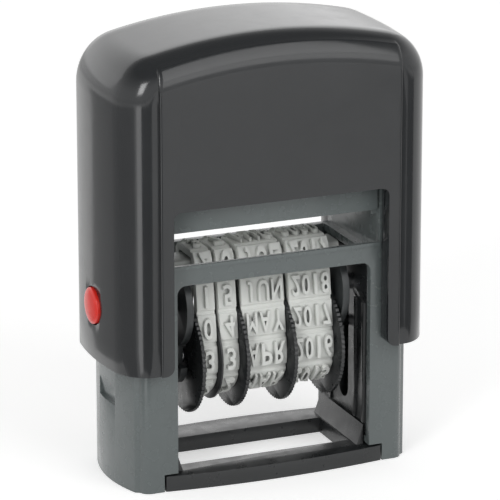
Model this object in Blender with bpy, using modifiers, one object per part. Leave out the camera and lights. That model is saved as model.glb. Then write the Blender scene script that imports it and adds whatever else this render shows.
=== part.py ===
"""Self-inking date stamp: a sprung cap over a frame, with a print unit that flips between pad and paper.

Metres, +Z up. The front is at -Y. The origin is on the ground, in the middle of the foot.
"""
import math

import bmesh
import bpy
from mathutils import Matrix, Vector

MM = 0.001

# Whole stamp
TOTAL_HEIGHT = 70.6 * MM
FIT_GAP = 0.3 * MM
CUT_OVERRUN = 4.0 * MM
CUT_LAP = 1.0 * MM
WELD_DISTANCE = 0.001 * MM
CURVE_POINTS = 10
FRAME_SIDE_POINTS = 16
FLAT_ANGLE = 0.2
LEAST_RADIUS_SHARE = 0.35

# Cap: a moulded arch with an inverted U window at the front and rear
CAP_WIDTH = 51.8 * MM
CAP_BODY_DEPTH = 24.6 * MM
CAP_PANEL_RISE = 0.5 * MM
CAP_WALL = 1.4 * MM
CAP_FACE_WALL = 2.1 * MM
CAP_SIDE_BULGE = 1.7 * MM
CAP_EDGE_INSET = 3.6 * MM
CAP_EDGE_DEPTH = 5.0 * MM
CAP_EDGE_STEPS = 7
CAP_MIDDLE_SHARES = (0.0, 0.5)
CAP_CROWN_RADIUS = 86.0 * MM
CAP_SHOULDER_RADIUS = 7.5 * MM
CAP_WING_WIDTH = 8.3 * MM
CAP_WINDOW_DROP = 1.3 * MM
CAP_WINDOW_CORNER = 1.2 * MM
CAP_WING_CORNER = 1.4 * MM
CAP_PANEL_EDGE = 5.9 * MM
CAP_PANEL_TOP_DROP = 3.9 * MM
CAP_PANEL_SHOULDER = 3.0 * MM
CAP_PANEL_BEVEL = 0.45 * MM

# Press travel
PRESS_TRAVEL = 17.4 * MM
PRESSED_WING_GAP = 2.2 * MM
PRINT_GAP = 0.05 * MM

# Frame: two legs joined by crossbars, with a chamber for the pad above
CAP_SIDE_GAP = 0.6 * MM
CAP_FACE_GAP = 0.4 * MM
FRAME_SIDE_BULGE = 2.1 * MM
FRAME_CORNER = 1.6 * MM
FRAME_WALL = 1.3 * MM
FRAME_TOP = 46.4 * MM
FRAME_ROOF = 1.0 * MM
FRAME_SHOULDER = 5.0 * MM
LEG_WIDTH = 7.95 * MM
UPPER_LEG_WIDTH = 6.5 * MM
LOWER_WINDOW_CORNER = 1.4 * MM
CROSSBAR_DROP = 11.0 * MM
CROSSBAR_HEIGHT = 2.8 * MM
CROSSBAR_LIP_HEIGHT = 0.3 * MM
CROSSBAR_LIP_DEPTH = 0.8 * MM
CROSSBAR_LIP_PROUD = 0.2 * MM
REAR_BAR_DROP = 12.8 * MM
REAR_BAR_HEIGHT = 3.4 * MM
REAR_STOP_DROP = 6.2 * MM
CHANNEL_FLOOR = 3.8 * MM
CAM_WALL = 1.2 * MM
SHAFT_STEP_DROP = 13.7 * MM
CHAMBER_DROP = 12.5 * MM
RAIL_DROP = 5.8 * MM
RAIL_HEIGHT = 0.7 * MM
RAIL_REACH = 0.9 * MM
LOCK_NOTCH_HALF = 3.2 * MM
LOCK_NOTCH_BOTTOM = 12.6 * MM
LOCK_NOTCH_TOP = 16.6 * MM
LOCK_NOTCH_DEPTH = 0.9 * MM

# Foot: a dark frame slid between the legs
FOOT_HEIGHT = 2.46 * MM
FOOT_GRIP = 1.95 * MM
FOOT_BULGE = 1.2 * MM
FOOT_RAMP_RUN = 1.65 * MM
FOOT_BAR_WIDTH = 4.25 * MM
FOOT_RAMP_HEIGHT = 3.2 * MM
FOOT_EDGE_BEVEL = 0.25 * MM

# Print unit: pivot, wheels and bands
PRINT_FACE_DROP = 10.8 * MM
CHARACTER_RISE = 0.6 * MM
AXLE_DROP = 8.6 * MM
AXLE_RADIUS = 1.0 * MM
RUNNING_GAP = 0.3 * MM
DISC_FACE_GAP = 0.8 * MM
DISC_THICKNESS = 0.6 * MM
DISC_TOOTH_DEPTH = 0.22 * MM
DISC_TEETH = 72
SMALL_FLANGE_INSET = 1.7 * MM
SMALL_FLANGE_THICKNESS = 0.35 * MM
HUB_SIDES = 12
BAND_SIDE_GAP = 0.12 * MM
BAND_THICKNESS = 0.9 * MM
BAND_WHEEL_INSET = 3.1 * MM
BAND_TOP_HALF = 3.5 * MM
BAND_TOP_CORNER = 1.0 * MM
BAND_TILE_RISE = 0.3 * MM
BAND_TILE_LENGTH = 4.0 * MM
BAND_TILE_SLOPE = 0.25 * MM
BAND_TILE_SHARES = (-1, -0.5, 0, 0.5, 1)
BAND_POINTS_PER_ROW = 4
BAND_ROWS = 12
UNIT_LEFT_GAP = 2.78 * MM
UNIT_RIGHT_GAP = 2.11 * MM
BAND_WIDTH_SHARES = (("day_tens", 0.1475), ("day_units", 0.1475), ("month", 0.355), ("year", 0.35))

# Print unit: bar, side plates, pins
PRINT_BAR_SIDE_GAP = 2.05 * MM
PRINT_BAR_DEPTH = 2.2 * MM
PRINT_BAR_EDGE = 0.5 * MM
SIDE_PLATE_THICKNESS = 1.1 * MM
SIDE_PLATE_GAP = 0.55 * MM
SIDE_PLATE_HALF_TOP = 2.9 * MM
SIDE_PLATE_LOBE_RADIUS = 6.8 * MM
SIDE_PLATE_LOBE_START = 70
SIDE_PLATE_LOBE_END = 38
SIDE_PLATE_NECK_HALF = 2.0 * MM
SIDE_PLATE_END_RADIUS = 4.2 * MM
SIDE_PLATE_END_START = 11
SIDE_PLATE_EDGE = 0.12 * MM
PIVOT_RADIUS = 1.4 * MM
PIVOT_HEAD_RADIUS = 2.1 * MM
PIVOT_HEAD_THICKNESS = 0.25 * MM
PIVOT_HEAD_GAP = 0.06 * MM
PIN_GAP = 0.15 * MM
STUD_RADIUS = 0.9 * MM
STUD_HOLE_GAP = 0.1 * MM
STUD_WALL_GAP = 2.0 * MM
CAM_GROOVE_DEPTH = 0.8 * MM
CAM_STEPS = 180
CAM_CLEAR_SHARE = 0.995
CAM_MOUTH_SHARE = 0.125
CAM_POINT_GAP = 0.25 * MM
GUIDE_RIB_FRONT = 7.7 * MM
GUIDE_RIB_INNER = 4.6 * MM
GUIDE_RIB_WIDTH = 0.7 * MM
GUIDE_RIB_RISE = 0.35 * MM
GUIDE_RIB_LENGTH = 19.5 * MM

# Yoke: the cap's inner bridge that carries the pivots
YOKE_SIDE_GAP = 0.4 * MM
YOKE_ARM_THICKNESS = 1.4 * MM
YOKE_HALF_WIDTH = 3.6 * MM
YOKE_SHOULDER = 4.0 * MM
YOKE_END_DROP = 3.4 * MM

# Return spring
SPRING_RADIUS = 5.6 * MM
SPRING_WIRE_RADIUS = 0.3 * MM
SPRING_TURNS = 5
SPRING_POINTS_PER_TURN = 10
SPRING_END_SHARE = 0.12
SPRING_END_RISE_SHARE = 0.05
SPRING_POST_RADIUS = 4.6 * MM
SPRING_POST_HEIGHT = 2.2 * MM

# Pad cassette
PAD_SIDE_GAP = 3.95 * MM
PAD_OVERHANG = 0.7 * MM
PAD_DROP = 7.5 * MM
PAD_EDGE = 0.5 * MM
CASSETTE_TOP_DROP = 1.6 * MM
CASSETTE_WALL = 1.2 * MM
CASSETTE_FACE = 1.1 * MM
CASSETTE_COLLAR = 0.9 * MM
CASSETTE_COLLAR_DROP = 1.1 * MM
CASSETTE_SIDE_GAP = 0.3 * MM
CASSETTE_FRONT_SET = 0.1 * MM

# Lock buttons
BUTTON_RADIUS = 2.84 * MM
BUTTON_RAISE = 8.4 * MM
BUTTON_PROUD = 0.7 * MM
BUTTON_FLANGE = 0.6 * MM
BUTTON_FLANGE_THICKNESS = 0.4 * MM
BUTTON_POCKET = 0.85 * MM
BUTTON_GAP = 0.2 * MM
BUTTON_DOME = 0.35 * MM
BUTTON_RIM = 0.56 * MM
BUTTON_RIM_INSET = 0.11 * MM
BUTTON_FLANGE_GAP = 0.1 * MM
BUTTON_DOME_STEPS = 4

# Widths that follow from the cap's
CAP_HALF = CAP_WIDTH / 2
CAP_WINDOW_HALF = CAP_HALF - CAP_WING_WIDTH
CAP_PANEL_HALF = CAP_HALF - CAP_PANEL_EDGE
FRAME_HALF_WIDTH = CAP_HALF - CAP_WALL - CAP_SIDE_GAP
LOWER_WINDOW_HALF = FRAME_HALF_WIDTH - LEG_WIDTH
UPPER_WINDOW_HALF = FRAME_HALF_WIDTH - UPPER_LEG_WIDTH
YOKE_ARM_INNER = UPPER_WINDOW_HALF + CAM_WALL + YOKE_SIDE_GAP
FOOT_HALF_LENGTH = LOWER_WINDOW_HALF + FOOT_GRIP
FOOT_OPENING_HALF_X = LOWER_WINDOW_HALF - FOOT_RAMP_RUN
PRINT_BAR_HALF_LENGTH = LOWER_WINDOW_HALF - PRINT_BAR_SIDE_GAP
PAD_HALF_X = LOWER_WINDOW_HALF - PAD_SIDE_GAP

# Depths that follow from the cap's
CAP_HALF_DEPTH = CAP_BODY_DEPTH / 2
FRAME_HALF_DEPTH = CAP_HALF_DEPTH - CAP_FACE_WALL - CAP_FACE_GAP
FRAME_INNER_DEPTH = FRAME_HALF_DEPTH - FRAME_WALL
FOOT_OPENING_HALF_Y = FRAME_HALF_DEPTH - FOOT_BAR_WIDTH
DISC_RADIUS = FRAME_HALF_DEPTH - DISC_FACE_GAP
SMALL_FLANGE_RADIUS = DISC_RADIUS - SMALL_FLANGE_INSET
BAND_WHEEL_RADIUS = DISC_RADIUS - BAND_WHEEL_INSET
BAND_INNER_WHEEL = BAND_WHEEL_RADIUS - BAND_THICKNESS
HUB_RADIUS = BAND_INNER_WHEEL - RUNNING_GAP
BORE_RADIUS = AXLE_RADIUS + RUNNING_GAP
STUD_ARM = FRAME_INNER_DEPTH - STUD_WALL_GAP
PAD_HALF_Y = BAND_TOP_HALF + PAD_OVERHANG

# Heights that follow from the frame's and the travel
CAP_WINDOW_TOP = FRAME_TOP - CAP_WINDOW_DROP
CAP_WING_BOTTOM = PRESS_TRAVEL + PRESSED_WING_GAP
BUTTON_HEIGHT = CAP_WING_BOTTOM + BUTTON_RAISE
CROSSBAR_TOP = FRAME_TOP - CROSSBAR_DROP
LOWER_WINDOW_TOP = CROSSBAR_TOP - CROSSBAR_HEIGHT
REAR_BAR_TOP = FRAME_TOP - REAR_BAR_DROP
REAR_WINDOW_TOP = REAR_BAR_TOP - REAR_BAR_HEIGHT
REAR_STOP_BOTTOM = FRAME_TOP - REAR_STOP_DROP
SHAFT_STEP = FRAME_TOP - SHAFT_STEP_DROP
CHAMBER_FLOOR = FRAME_TOP - CHAMBER_DROP
RAIL_TOP = FRAME_TOP - RAIL_DROP
CASSETTE_BOTTOM = RAIL_TOP + FIT_GAP
CASSETTE_TOP = FRAME_TOP - CASSETTE_TOP_DROP
PAD_BOTTOM = FRAME_TOP - PAD_DROP
PRINT_FACE_TOP = FRAME_TOP - PRINT_FACE_DROP
PRINT_FACE_REACH = PRINT_FACE_TOP + CHARACTER_RISE
PIVOT_HEIGHT = (PRINT_FACE_REACH + PRESS_TRAVEL + PRINT_GAP) / 2
AXLE_HEIGHT = PIVOT_HEIGHT - AXLE_DROP
GUIDE_TOP = SHAFT_STEP - FIT_GAP
GUIDE_BOTTOM = CHANNEL_FLOOR + FIT_GAP

COLOURS = {
    "cap plastic": ((0.055, 0.056, 0.058), 0.18, 0.0),
    "frame plastic": ((0.155, 0.165, 0.165), 0.42, 0.0),
    "black plastic": ((0.025, 0.026, 0.028), 0.35, 0.0),
    "band rubber": ((0.55, 0.56, 0.53), 0.75, 0.0),
    "bar plastic": ((0.45, 0.46, 0.45), 0.5, 0.0),
    "button plastic": ((0.75, 0.03, 0.02), 0.25, 0.0),
    "pad felt": ((0.75, 0.75, 0.73), 0.95, 0.0),
    "steel": ((0.55, 0.55, 0.56), 0.3, 1.0),
}


def clear_scene():
    for thing in list(bpy.data.objects):
        bpy.data.objects.remove(thing, do_unlink=True)


def new_collection(name):
    group = bpy.data.collections.new(name)
    bpy.context.scene.collection.children.link(group)
    return group


def material(name):
    found = bpy.data.materials.get(name)
    if found:
        return found
    colour, roughness, metallic = COLOURS[name]
    made = bpy.data.materials.new(name)
    made.use_nodes = True
    shader = made.node_tree.nodes["Principled BSDF"]
    shader.inputs["Base Color"].default_value = (*colour, 1.0)
    shader.inputs["Roughness"].default_value = roughness
    shader.inputs["Metallic"].default_value = metallic
    return made


def add_mesh(name, mesh, group):
    thing = bpy.data.objects.new(name, mesh)
    group.objects.link(thing)
    return thing


def smooth(thing, degrees=32):
    thing.data.shade_smooth()
    thing.data.set_sharp_from_angle(angle=math.radians(degrees))


def finish(thing, colour, parent=None):
    thing.data.materials.clear()
    thing.data.materials.append(material(colour))
    smooth(thing)
    if parent:
        thing.parent = parent
        thing.matrix_parent_inverse = parent.matrix_world.inverted()
    return thing


def joint_empty(name, place, parent=None):
    empty = bpy.data.objects.new(name, None)
    PARTS.objects.link(empty)
    empty.location = place
    if parent:
        empty.parent = parent
        empty.matrix_parent_inverse = parent.matrix_world.inverted()
    bpy.context.view_layer.update()
    return empty


def box(name, low, high, group):
    mesh = bpy.data.meshes.new(name)
    form = bmesh.new()
    bmesh.ops.create_cube(form, size=1.0)
    low, high = Vector(low), Vector(high)
    bmesh.ops.scale(form, vec=high - low, verts=form.verts)
    bmesh.ops.translate(form, vec=(low + high) / 2, verts=form.verts)
    form.to_mesh(mesh)
    form.free()
    return add_mesh(name, mesh, group)


def rod(name, radius, start, end, group, sides=32):
    """A cylinder between two points."""
    start, end = Vector(start), Vector(end)
    along = end - start
    mesh = bpy.data.meshes.new(name)
    form = bmesh.new()
    bmesh.ops.create_cone(
        form, cap_ends=True, segments=sides, radius1=radius, radius2=radius, depth=along.length
    )
    turn = Vector((0, 0, 1)).rotation_difference(along).to_matrix().to_4x4()
    form.transform(Matrix.Translation((start + end) / 2) @ turn)
    form.to_mesh(mesh)
    form.free()
    return add_mesh(name, mesh, group)


def extruded(name, outlines, axis, low, high, group):
    """Flat closed outlines (outer first, then holes) extruded along an axis between two places."""
    curve = bpy.data.curves.new(name, "CURVE")
    curve.dimensions = "2D"
    curve.fill_mode = "BOTH"
    curve.extrude = (high - low) / 2
    for outline in outlines:
        spline = curve.splines.new("POLY")
        spline.points.add(len(outline) - 1)
        for point, (u, v) in zip(spline.points, outline):
            point.co = (u, v, 0, 1)
        spline.use_cyclic_u = True
    middle = (low + high) / 2
    turns = {
        "X": Matrix(((0, 0, 1, middle), (1, 0, 0, 0), (0, 1, 0, 0), (0, 0, 0, 1))),
        "Y": Matrix(((1, 0, 0, 0), (0, 0, -1, middle), (0, 1, 0, 0), (0, 0, 0, 1))),
        "Z": Matrix(((1, 0, 0, 0), (0, 1, 0, 0), (0, 0, 1, middle), (0, 0, 0, 1))),
    }
    return from_curve(name, curve, turns[axis], group)


def from_curve(name, curve, placing, group):
    """The curve's mesh, with its loose caps welded on."""
    guide = bpy.data.objects.new(name + "_curve", curve)
    bpy.context.scene.collection.objects.link(guide)
    bpy.context.view_layer.update()
    graph = bpy.context.evaluated_depsgraph_get()
    mesh = bpy.data.meshes.new_from_object(guide.evaluated_get(graph))
    bpy.data.objects.remove(guide, do_unlink=True)
    form = bmesh.new()
    form.from_mesh(mesh)
    bmesh.ops.remove_doubles(form, verts=form.verts, dist=WELD_DISTANCE)
    bmesh.ops.dissolve_degenerate(form, dist=WELD_DISTANCE, edges=form.edges)
    bmesh.ops.dissolve_limit(
        form, angle_limit=math.radians(FLAT_ANGLE), verts=form.verts, edges=form.edges
    )
    form.transform(placing)
    face_outwards(form)
    form.to_mesh(mesh)
    form.free()
    mesh.name = name
    return add_mesh(name, mesh, group)


def face_outwards(form):
    bmesh.ops.recalc_face_normals(form, faces=form.faces)
    if form.calc_volume(signed=True) < 0:
        bmesh.ops.reverse_faces(form, faces=form.faces)


def loft(name, rings, group):
    """A closed solid through rings of equal point counts, capped at both ends."""
    form = bmesh.new()
    rows = [[form.verts.new(point) for point in ring] for ring in rings]
    for here, there in zip(rows, rows[1:]):
        for k in range(len(here)):
            form.faces.new((here[k - 1], here[k], there[k], there[k - 1]))
    form.faces.new(rows[0])
    form.faces.new(list(reversed(rows[-1])))
    face_outwards(form)
    mesh = bpy.data.meshes.new(name)
    form.to_mesh(mesh)
    form.free()
    return add_mesh(name, mesh, group)


def boolean(thing, tool, operation="DIFFERENCE"):
    tool.hide_render = True
    tool.display_type = "WIRE"
    step = thing.modifiers.new(operation.title() + " " + tool.name, "BOOLEAN")
    step.operation = operation
    step.object = tool
    step.solver = "EXACT"


def bevel(thing, width, segments=2, degrees=40):
    step = thing.modifiers.new("Rounded edges", "BEVEL")
    step.width = width
    step.segments = segments
    step.limit_method = "ANGLE"
    step.angle_limit = math.radians(degrees)


def settle(thing):
    """Applies the modifiers, so that a later cut starts from the finished form."""
    bpy.context.view_layer.update()
    graph = bpy.context.evaluated_depsgraph_get()
    mesh = bpy.data.meshes.new_from_object(thing.evaluated_get(graph))
    thing.modifiers.clear()
    thing.data = mesh
    mesh.name = thing.name
    return thing


def arc(centre, radius, start, end, steps):
    """Points on a circle's arc, from one angle to another in degrees."""
    points = []
    for k in range(steps + 1):
        angle = math.radians(start + (end - start) * k / steps)
        points.append((centre[0] + radius * math.cos(angle), centre[1] + radius * math.sin(angle)))
    return points


def rounded_box_outline(half_u, low_v, high_v, corner, steps=4):
    points = arc((half_u - corner, high_v - corner), corner, 0, 90, steps)
    points += arc((corner - half_u, high_v - corner), corner, 90, 180, steps)
    points += arc((corner - half_u, low_v + corner), corner, 180, 270, steps)
    points += arc((half_u - corner, low_v + corner), corner, 270, 360, steps)
    return points


def arch_outline(half, top, bottom, crown, shoulder, steps=CURVE_POINTS):
    """Front view of the arch: straight sides, round shoulders and a shallow crown."""
    crown_centre = top - crown
    reach = crown - shoulder
    side = half - shoulder
    lift = math.sqrt(reach * reach - side * side)
    shoulder_centre = (side, crown_centre + lift)
    lean = math.degrees(math.atan2(side, lift))
    right = arc(shoulder_centre, shoulder, 0, 90 - lean, steps)
    crown_points = arc((0, crown_centre), crown, 90 - lean, 90 + lean, steps)
    left = arc((-side, shoulder_centre[1]), shoulder, 90 + lean, 180, steps)
    return [(half, bottom)] + right + crown_points[1:-1] + left + [(-half, bottom)]


def plan_outline(half_width, half_depth, bulge, corner, steps=FRAME_SIDE_POINTS):
    """Plan view with bowed sides: the width falls by the bulge towards the front and rear."""
    edge = half_width - bulge
    side = []
    for k in range(steps + 1):
        y = (half_depth - corner) * (2 * k / steps - 1)
        side.append((half_width - bulge * (y / half_depth) ** 2, y))
    start = edge - corner
    front = [(start, -half_depth)] + arc((start, corner - half_depth), corner, 285, 345, 6)
    right = front + side + [(x, -y) for x, y in reversed(front)]
    return right + [(-x, y) for x, y in reversed(right)]


def window_cutter(name, half, top, corner, flare, bottom, near, far):
    """A window open at the bottom, with round upper corners and flared lower ones."""
    points = arc((half - corner, top - corner), corner, 0, 90, 5)
    points += [(-x, z) for x, z in reversed(points)]
    if flare:
        left = arc((-half - flare, bottom + flare), flare, 0, -90, 4)
        points += left
        points += [(-half - flare, bottom - CUT_OVERRUN), (half + flare, bottom - CUT_OVERRUN)]
        points += [(-x, z) for x, z in reversed(left)]
    else:
        points += [(-half, bottom - CUT_OVERRUN), (half, bottom - CUT_OVERRUN)]
    return extruded(name, [points], "Y", near, far, CUTTERS)


def cap_rings(margin, face_margin, bottom):
    """Arch sections from front to rear; their edges roll in, and the sides bow out in the middle."""
    half_depth = CAP_HALF_DEPTH - face_margin
    stations = []
    for k in range(CAP_EDGE_STEPS + 1):
        angle = math.radians(90 * k / CAP_EDGE_STEPS)
        y = half_depth - CAP_EDGE_DEPTH * (1 - math.sin(angle))
        stations.append((y, CAP_EDGE_INSET * (1 - math.cos(angle))))
    inner = stations[0][0]
    for share in CAP_MIDDLE_SHARES:
        stations.append((inner * share, 0.0))
    stations = sorted(stations)
    stations = [(-y, inset) for y, inset in reversed(stations) if y > 0] + stations
    rings = []
    for y, inset in stations:
        gone = margin + inset
        half = CAP_HALF - gone - CAP_SIDE_BULGE * (y / CAP_HALF_DEPTH) ** 2
        top = TOTAL_HEIGHT - gone
        shoulder = max(CAP_SHOULDER_RADIUS - gone, CAP_SHOULDER_RADIUS * LEAST_RADIUS_SHARE)
        outline = arch_outline(half, top, bottom, CAP_CROWN_RADIUS, shoulder)
        rings.append([Vector((x, y, z)) for x, z in outline])
    return rings


def make_cap():
    cap = loft("cap_shell", cap_rings(0, 0, CAP_WING_BOTTOM), PARTS)
    panel_top = TOTAL_HEIGHT - CAP_PANEL_TOP_DROP
    front = CAP_HALF_DEPTH + CAP_PANEL_RISE
    outline = arch_outline(
        CAP_PANEL_HALF, panel_top, CAP_WING_BOTTOM, CAP_CROWN_RADIUS, CAP_PANEL_SHOULDER, 6
    )
    panel = extruded("cap_panels", [outline], "Y", -front, front, CUTTERS)
    bevel(panel, CAP_PANEL_BEVEL, 2, 60)
    boolean(cap, panel, "UNION")
    hollow_rings = cap_rings(CAP_WALL, CAP_FACE_WALL, CAP_WING_BOTTOM - CUT_OVERRUN)
    hollow = loft("cap_hollow", hollow_rings, CUTTERS)
    boolean(cap, hollow)
    window = window_cutter(
        "cap_window", CAP_WINDOW_HALF, CAP_WINDOW_TOP, CAP_WINDOW_CORNER,
        CAP_WING_CORNER, CAP_WING_BOTTOM, -front - CUT_OVERRUN, front + CUT_OVERRUN,
    )
    boolean(cap, window)
    across = CAP_HALF + CUT_OVERRUN
    hole = rod(
        "button_holes", BUTTON_RADIUS + BUTTON_GAP, (-across, 0, BUTTON_HEIGHT),
        (across, 0, BUTTON_HEIGHT), CUTTERS,
    )
    boolean(cap, hole)
    pocket_reach = CAP_HALF - CAP_WALL + BUTTON_POCKET
    pocket = rod(
        "button_pockets", BUTTON_RADIUS + BUTTON_FLANGE + BUTTON_GAP,
        (-pocket_reach, 0, BUTTON_HEIGHT), (pocket_reach, 0, BUTTON_HEIGHT), CUTTERS,
    )
    boolean(cap, pocket)
    return finish(cap, "cap plastic", PRESS)


def make_button(side, parent):
    """A red lock button: a flange behind the cap's wall and a domed head through it."""
    outer = CAP_HALF + BUTTON_PROUD
    flange_out = CAP_HALF - CAP_WALL + BUTTON_POCKET - BUTTON_FLANGE_GAP
    flange_in = flange_out - BUTTON_FLANGE_THICKNESS
    flange_radius = BUTTON_RADIUS + BUTTON_FLANGE
    profile = [(0, outer)]
    for k in range(1, BUTTON_DOME_STEPS + 1):
        share = k / BUTTON_DOME_STEPS
        fall = BUTTON_DOME * share * share
        profile.append(((BUTTON_RADIUS - BUTTON_RIM_INSET) * share, outer - fall))
    profile += [(BUTTON_RADIUS, outer - BUTTON_RIM), (BUTTON_RADIUS, flange_out)]
    profile += [(flange_radius, flange_out), (flange_radius, flange_in), (0, flange_in)]
    name = "lock_button_left" if side < 0 else "lock_button_right"
    button = turned(name, profile, 32, PARTS)
    button.data.transform(Matrix.Translation((0, 0, BUTTON_HEIGHT)) @ turn_to_x(side))
    return finish(button, "button plastic", parent)


def turn_to_x(side):
    return Matrix.Rotation(math.radians(90 * side), 4, "Y")


def turned(name, profile, sides, group):
    """A profile of (radius, height) points, top to bottom, screwed round the Z axis."""
    mesh = bpy.data.meshes.new(name)
    form = bmesh.new()
    points = [form.verts.new((radius, 0, height)) for radius, height in profile]
    for here, there in zip(points, points[1:]):
        form.edges.new((here, there))
    form.to_mesh(mesh)
    form.free()
    thing = add_mesh(name, mesh, group)
    step = thing.modifiers.new("Turned", "SCREW")
    step.steps = sides
    step.render_steps = sides
    step.use_merge_vertices = True
    step.merge_threshold = WELD_DISTANCE
    return settle(thing)


def make_frame():
    outline = plan_outline(FRAME_HALF_WIDTH, FRAME_HALF_DEPTH, FRAME_SIDE_BULGE, FRAME_CORNER)
    frame = extruded("base_frame", [outline], "Z", 0, FRAME_TOP, PARTS)
    frame_cuts = [frame_chamber(), frame_middle()]
    frame_cuts += [leg_shaft(side) for side in (-1, 1)]
    frame_cuts += lower_windows() + upper_windows()
    frame_cuts.append(foot_notch())
    frame_cuts += [frame_shoulder(side) for side in (-1, 1)]
    frame_cuts += [lock_notch(side) for side in (-1, 1)]
    for tool in frame_cuts:
        boolean(frame, tool)
    post = rod(
        "spring_post", SPRING_POST_RADIUS, (0, 0, FRAME_TOP - FRAME_ROOF / 2),
        (0, 0, FRAME_TOP + SPRING_POST_HEIGHT), CUTTERS,
    )
    boolean(frame, post, "UNION")
    for side in (-1, 1):
        boolean(frame, frame_rail(side), "UNION")
    boolean(frame, crossbar_lip(), "UNION")
    return finish(frame, "frame plastic")


def frame_chamber():
    """The pad's chamber, between the middle of the frame and its roof."""
    half, reach = UPPER_WINDOW_HALF, FRAME_INNER_DEPTH
    top = FRAME_TOP - FRAME_ROOF
    return box("pad_chamber", (-half, -reach, CHAMBER_FLOOR), (half, reach, top), CUTTERS)


def frame_middle():
    """The open middle between the legs; the guide plates line its sides."""
    half = LOWER_WINDOW_HALF + CAM_WALL + FIT_GAP
    reach = FRAME_INNER_DEPTH
    low = box("middle_space", (-half, -reach, CHANNEL_FLOOR), (half, reach, SHAFT_STEP), CUTTERS)
    half = LOWER_WINDOW_HALF
    high = box(
        "middle_opening", (-half, -reach, -CUT_OVERRUN), (half, reach, CHAMBER_FLOOR + CUT_LAP), CUTTERS
    )
    boolean(low, high, "UNION")
    return low


def frame_rail(side):
    """A ledge that the pad's cassette slides on."""
    name = "rail_left" if side < 0 else "rail_right"
    near = side * (UPPER_WINDOW_HALF - RAIL_REACH)
    far = side * (UPPER_WINDOW_HALF + CAM_WALL / 2)
    low = (min(near, far), -FRAME_INNER_DEPTH, RAIL_TOP - RAIL_HEIGHT)
    high = (max(near, far), FRAME_INNER_DEPTH + FRAME_WALL / 2, RAIL_TOP)
    return box(name, low, high, CUTTERS)


def leg_shaft(side):
    """The open shaft inside a leg, where the yoke's arm runs."""
    outer = []
    for k in range(CURVE_POINTS + 1):
        y = FRAME_INNER_DEPTH * (2 * k / CURVE_POINTS - 1)
        bow = FRAME_SIDE_BULGE * (y / FRAME_HALF_DEPTH) ** 2
        outer.append((side * (FRAME_HALF_WIDTH - FRAME_WALL - bow), y))
    inner = side * (LOWER_WINDOW_HALF + CAM_WALL)
    upper_inner = side * (UPPER_WINDOW_HALF + CAM_WALL)
    reach = FRAME_INNER_DEPTH
    name = "leg_shaft_left" if side < 0 else "leg_shaft_right"
    lower = extruded(
        name, [[(inner, -reach)] + outer + [(inner, reach)]], "Z", CHANNEL_FLOOR, SHAFT_STEP, CUTTERS
    )
    upper = extruded(
        name + "_upper", [[(upper_inner, -reach)] + outer + [(upper_inner, reach)]], "Z",
        SHAFT_STEP - CUT_LAP, FRAME_TOP + CUT_OVERRUN, CUTTERS,
    )
    boolean(lower, upper, "UNION")
    return lower


def lower_windows():
    """Round-cornered windows down to the ground, a little lower at the rear."""
    reach = FRAME_HALF_DEPTH + CUT_OVERRUN
    half, corner = LOWER_WINDOW_HALF, LOWER_WINDOW_CORNER
    front = window_cutter("lower_window_front", half, LOWER_WINDOW_TOP, corner, 0, 0, -reach, 0)
    rear = window_cutter("lower_window_rear", half, REAR_WINDOW_TOP, corner, 0, 0, 0, reach)
    return [front, rear]


def upper_windows():
    """The pad's way out at the front, and a slit at the rear under the pad's stop."""
    half = UPPER_WINDOW_HALF
    reach = FRAME_HALF_DEPTH + CUT_OVERRUN
    top = FRAME_TOP - FRAME_ROOF
    front = box("upper_window_front", (-half, -reach, CROSSBAR_TOP), (half, 0, top), CUTTERS)
    near = FRAME_INNER_DEPTH - FIT_GAP
    rear = box("upper_window_rear", (-half, near, REAR_BAR_TOP), (half, reach, REAR_STOP_BOTTOM), CUTTERS)
    return [front, rear]


def foot_notch():
    half = FOOT_HALF_LENGTH + FIT_GAP
    reach = FRAME_HALF_DEPTH + CUT_OVERRUN
    top = FOOT_HEIGHT + FIT_GAP
    return box("foot_notch", (-half, -reach, -CUT_OVERRUN), (half, reach, top), CUTTERS)


def frame_shoulder(side):
    """Slopes the frame's upper corner off, so that it clears the cap's shoulder when pressed."""
    face = side * (FRAME_HALF_WIDTH + FIT_GAP)
    inner = side * (FRAME_HALF_WIDTH - FRAME_SHOULDER)
    low = FRAME_TOP - FRAME_SHOULDER
    high = FRAME_TOP + FIT_GAP
    outline = [(face, low), (side * (FRAME_HALF_WIDTH + CUT_OVERRUN), low), (face, high), (inner, high)]
    name = "frame_shoulder_left" if side < 0 else "frame_shoulder_right"
    reach = FRAME_HALF_DEPTH + CUT_OVERRUN
    return extruded(name, [outline], "Y", -reach, reach, CUTTERS)


def crossbar_lip():
    """A thin raised lip along the front edge of the crossbar's top."""
    half = UPPER_WINDOW_HALF + FIT_GAP / 2
    front = -FRAME_HALF_DEPTH - CROSSBAR_LIP_PROUD
    low = (-half, front, CROSSBAR_TOP - CROSSBAR_LIP_HEIGHT)
    high = (half, front + CROSSBAR_LIP_DEPTH, CROSSBAR_TOP + CROSSBAR_LIP_HEIGHT)
    return box("crossbar_lip", low, high, CUTTERS)


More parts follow.
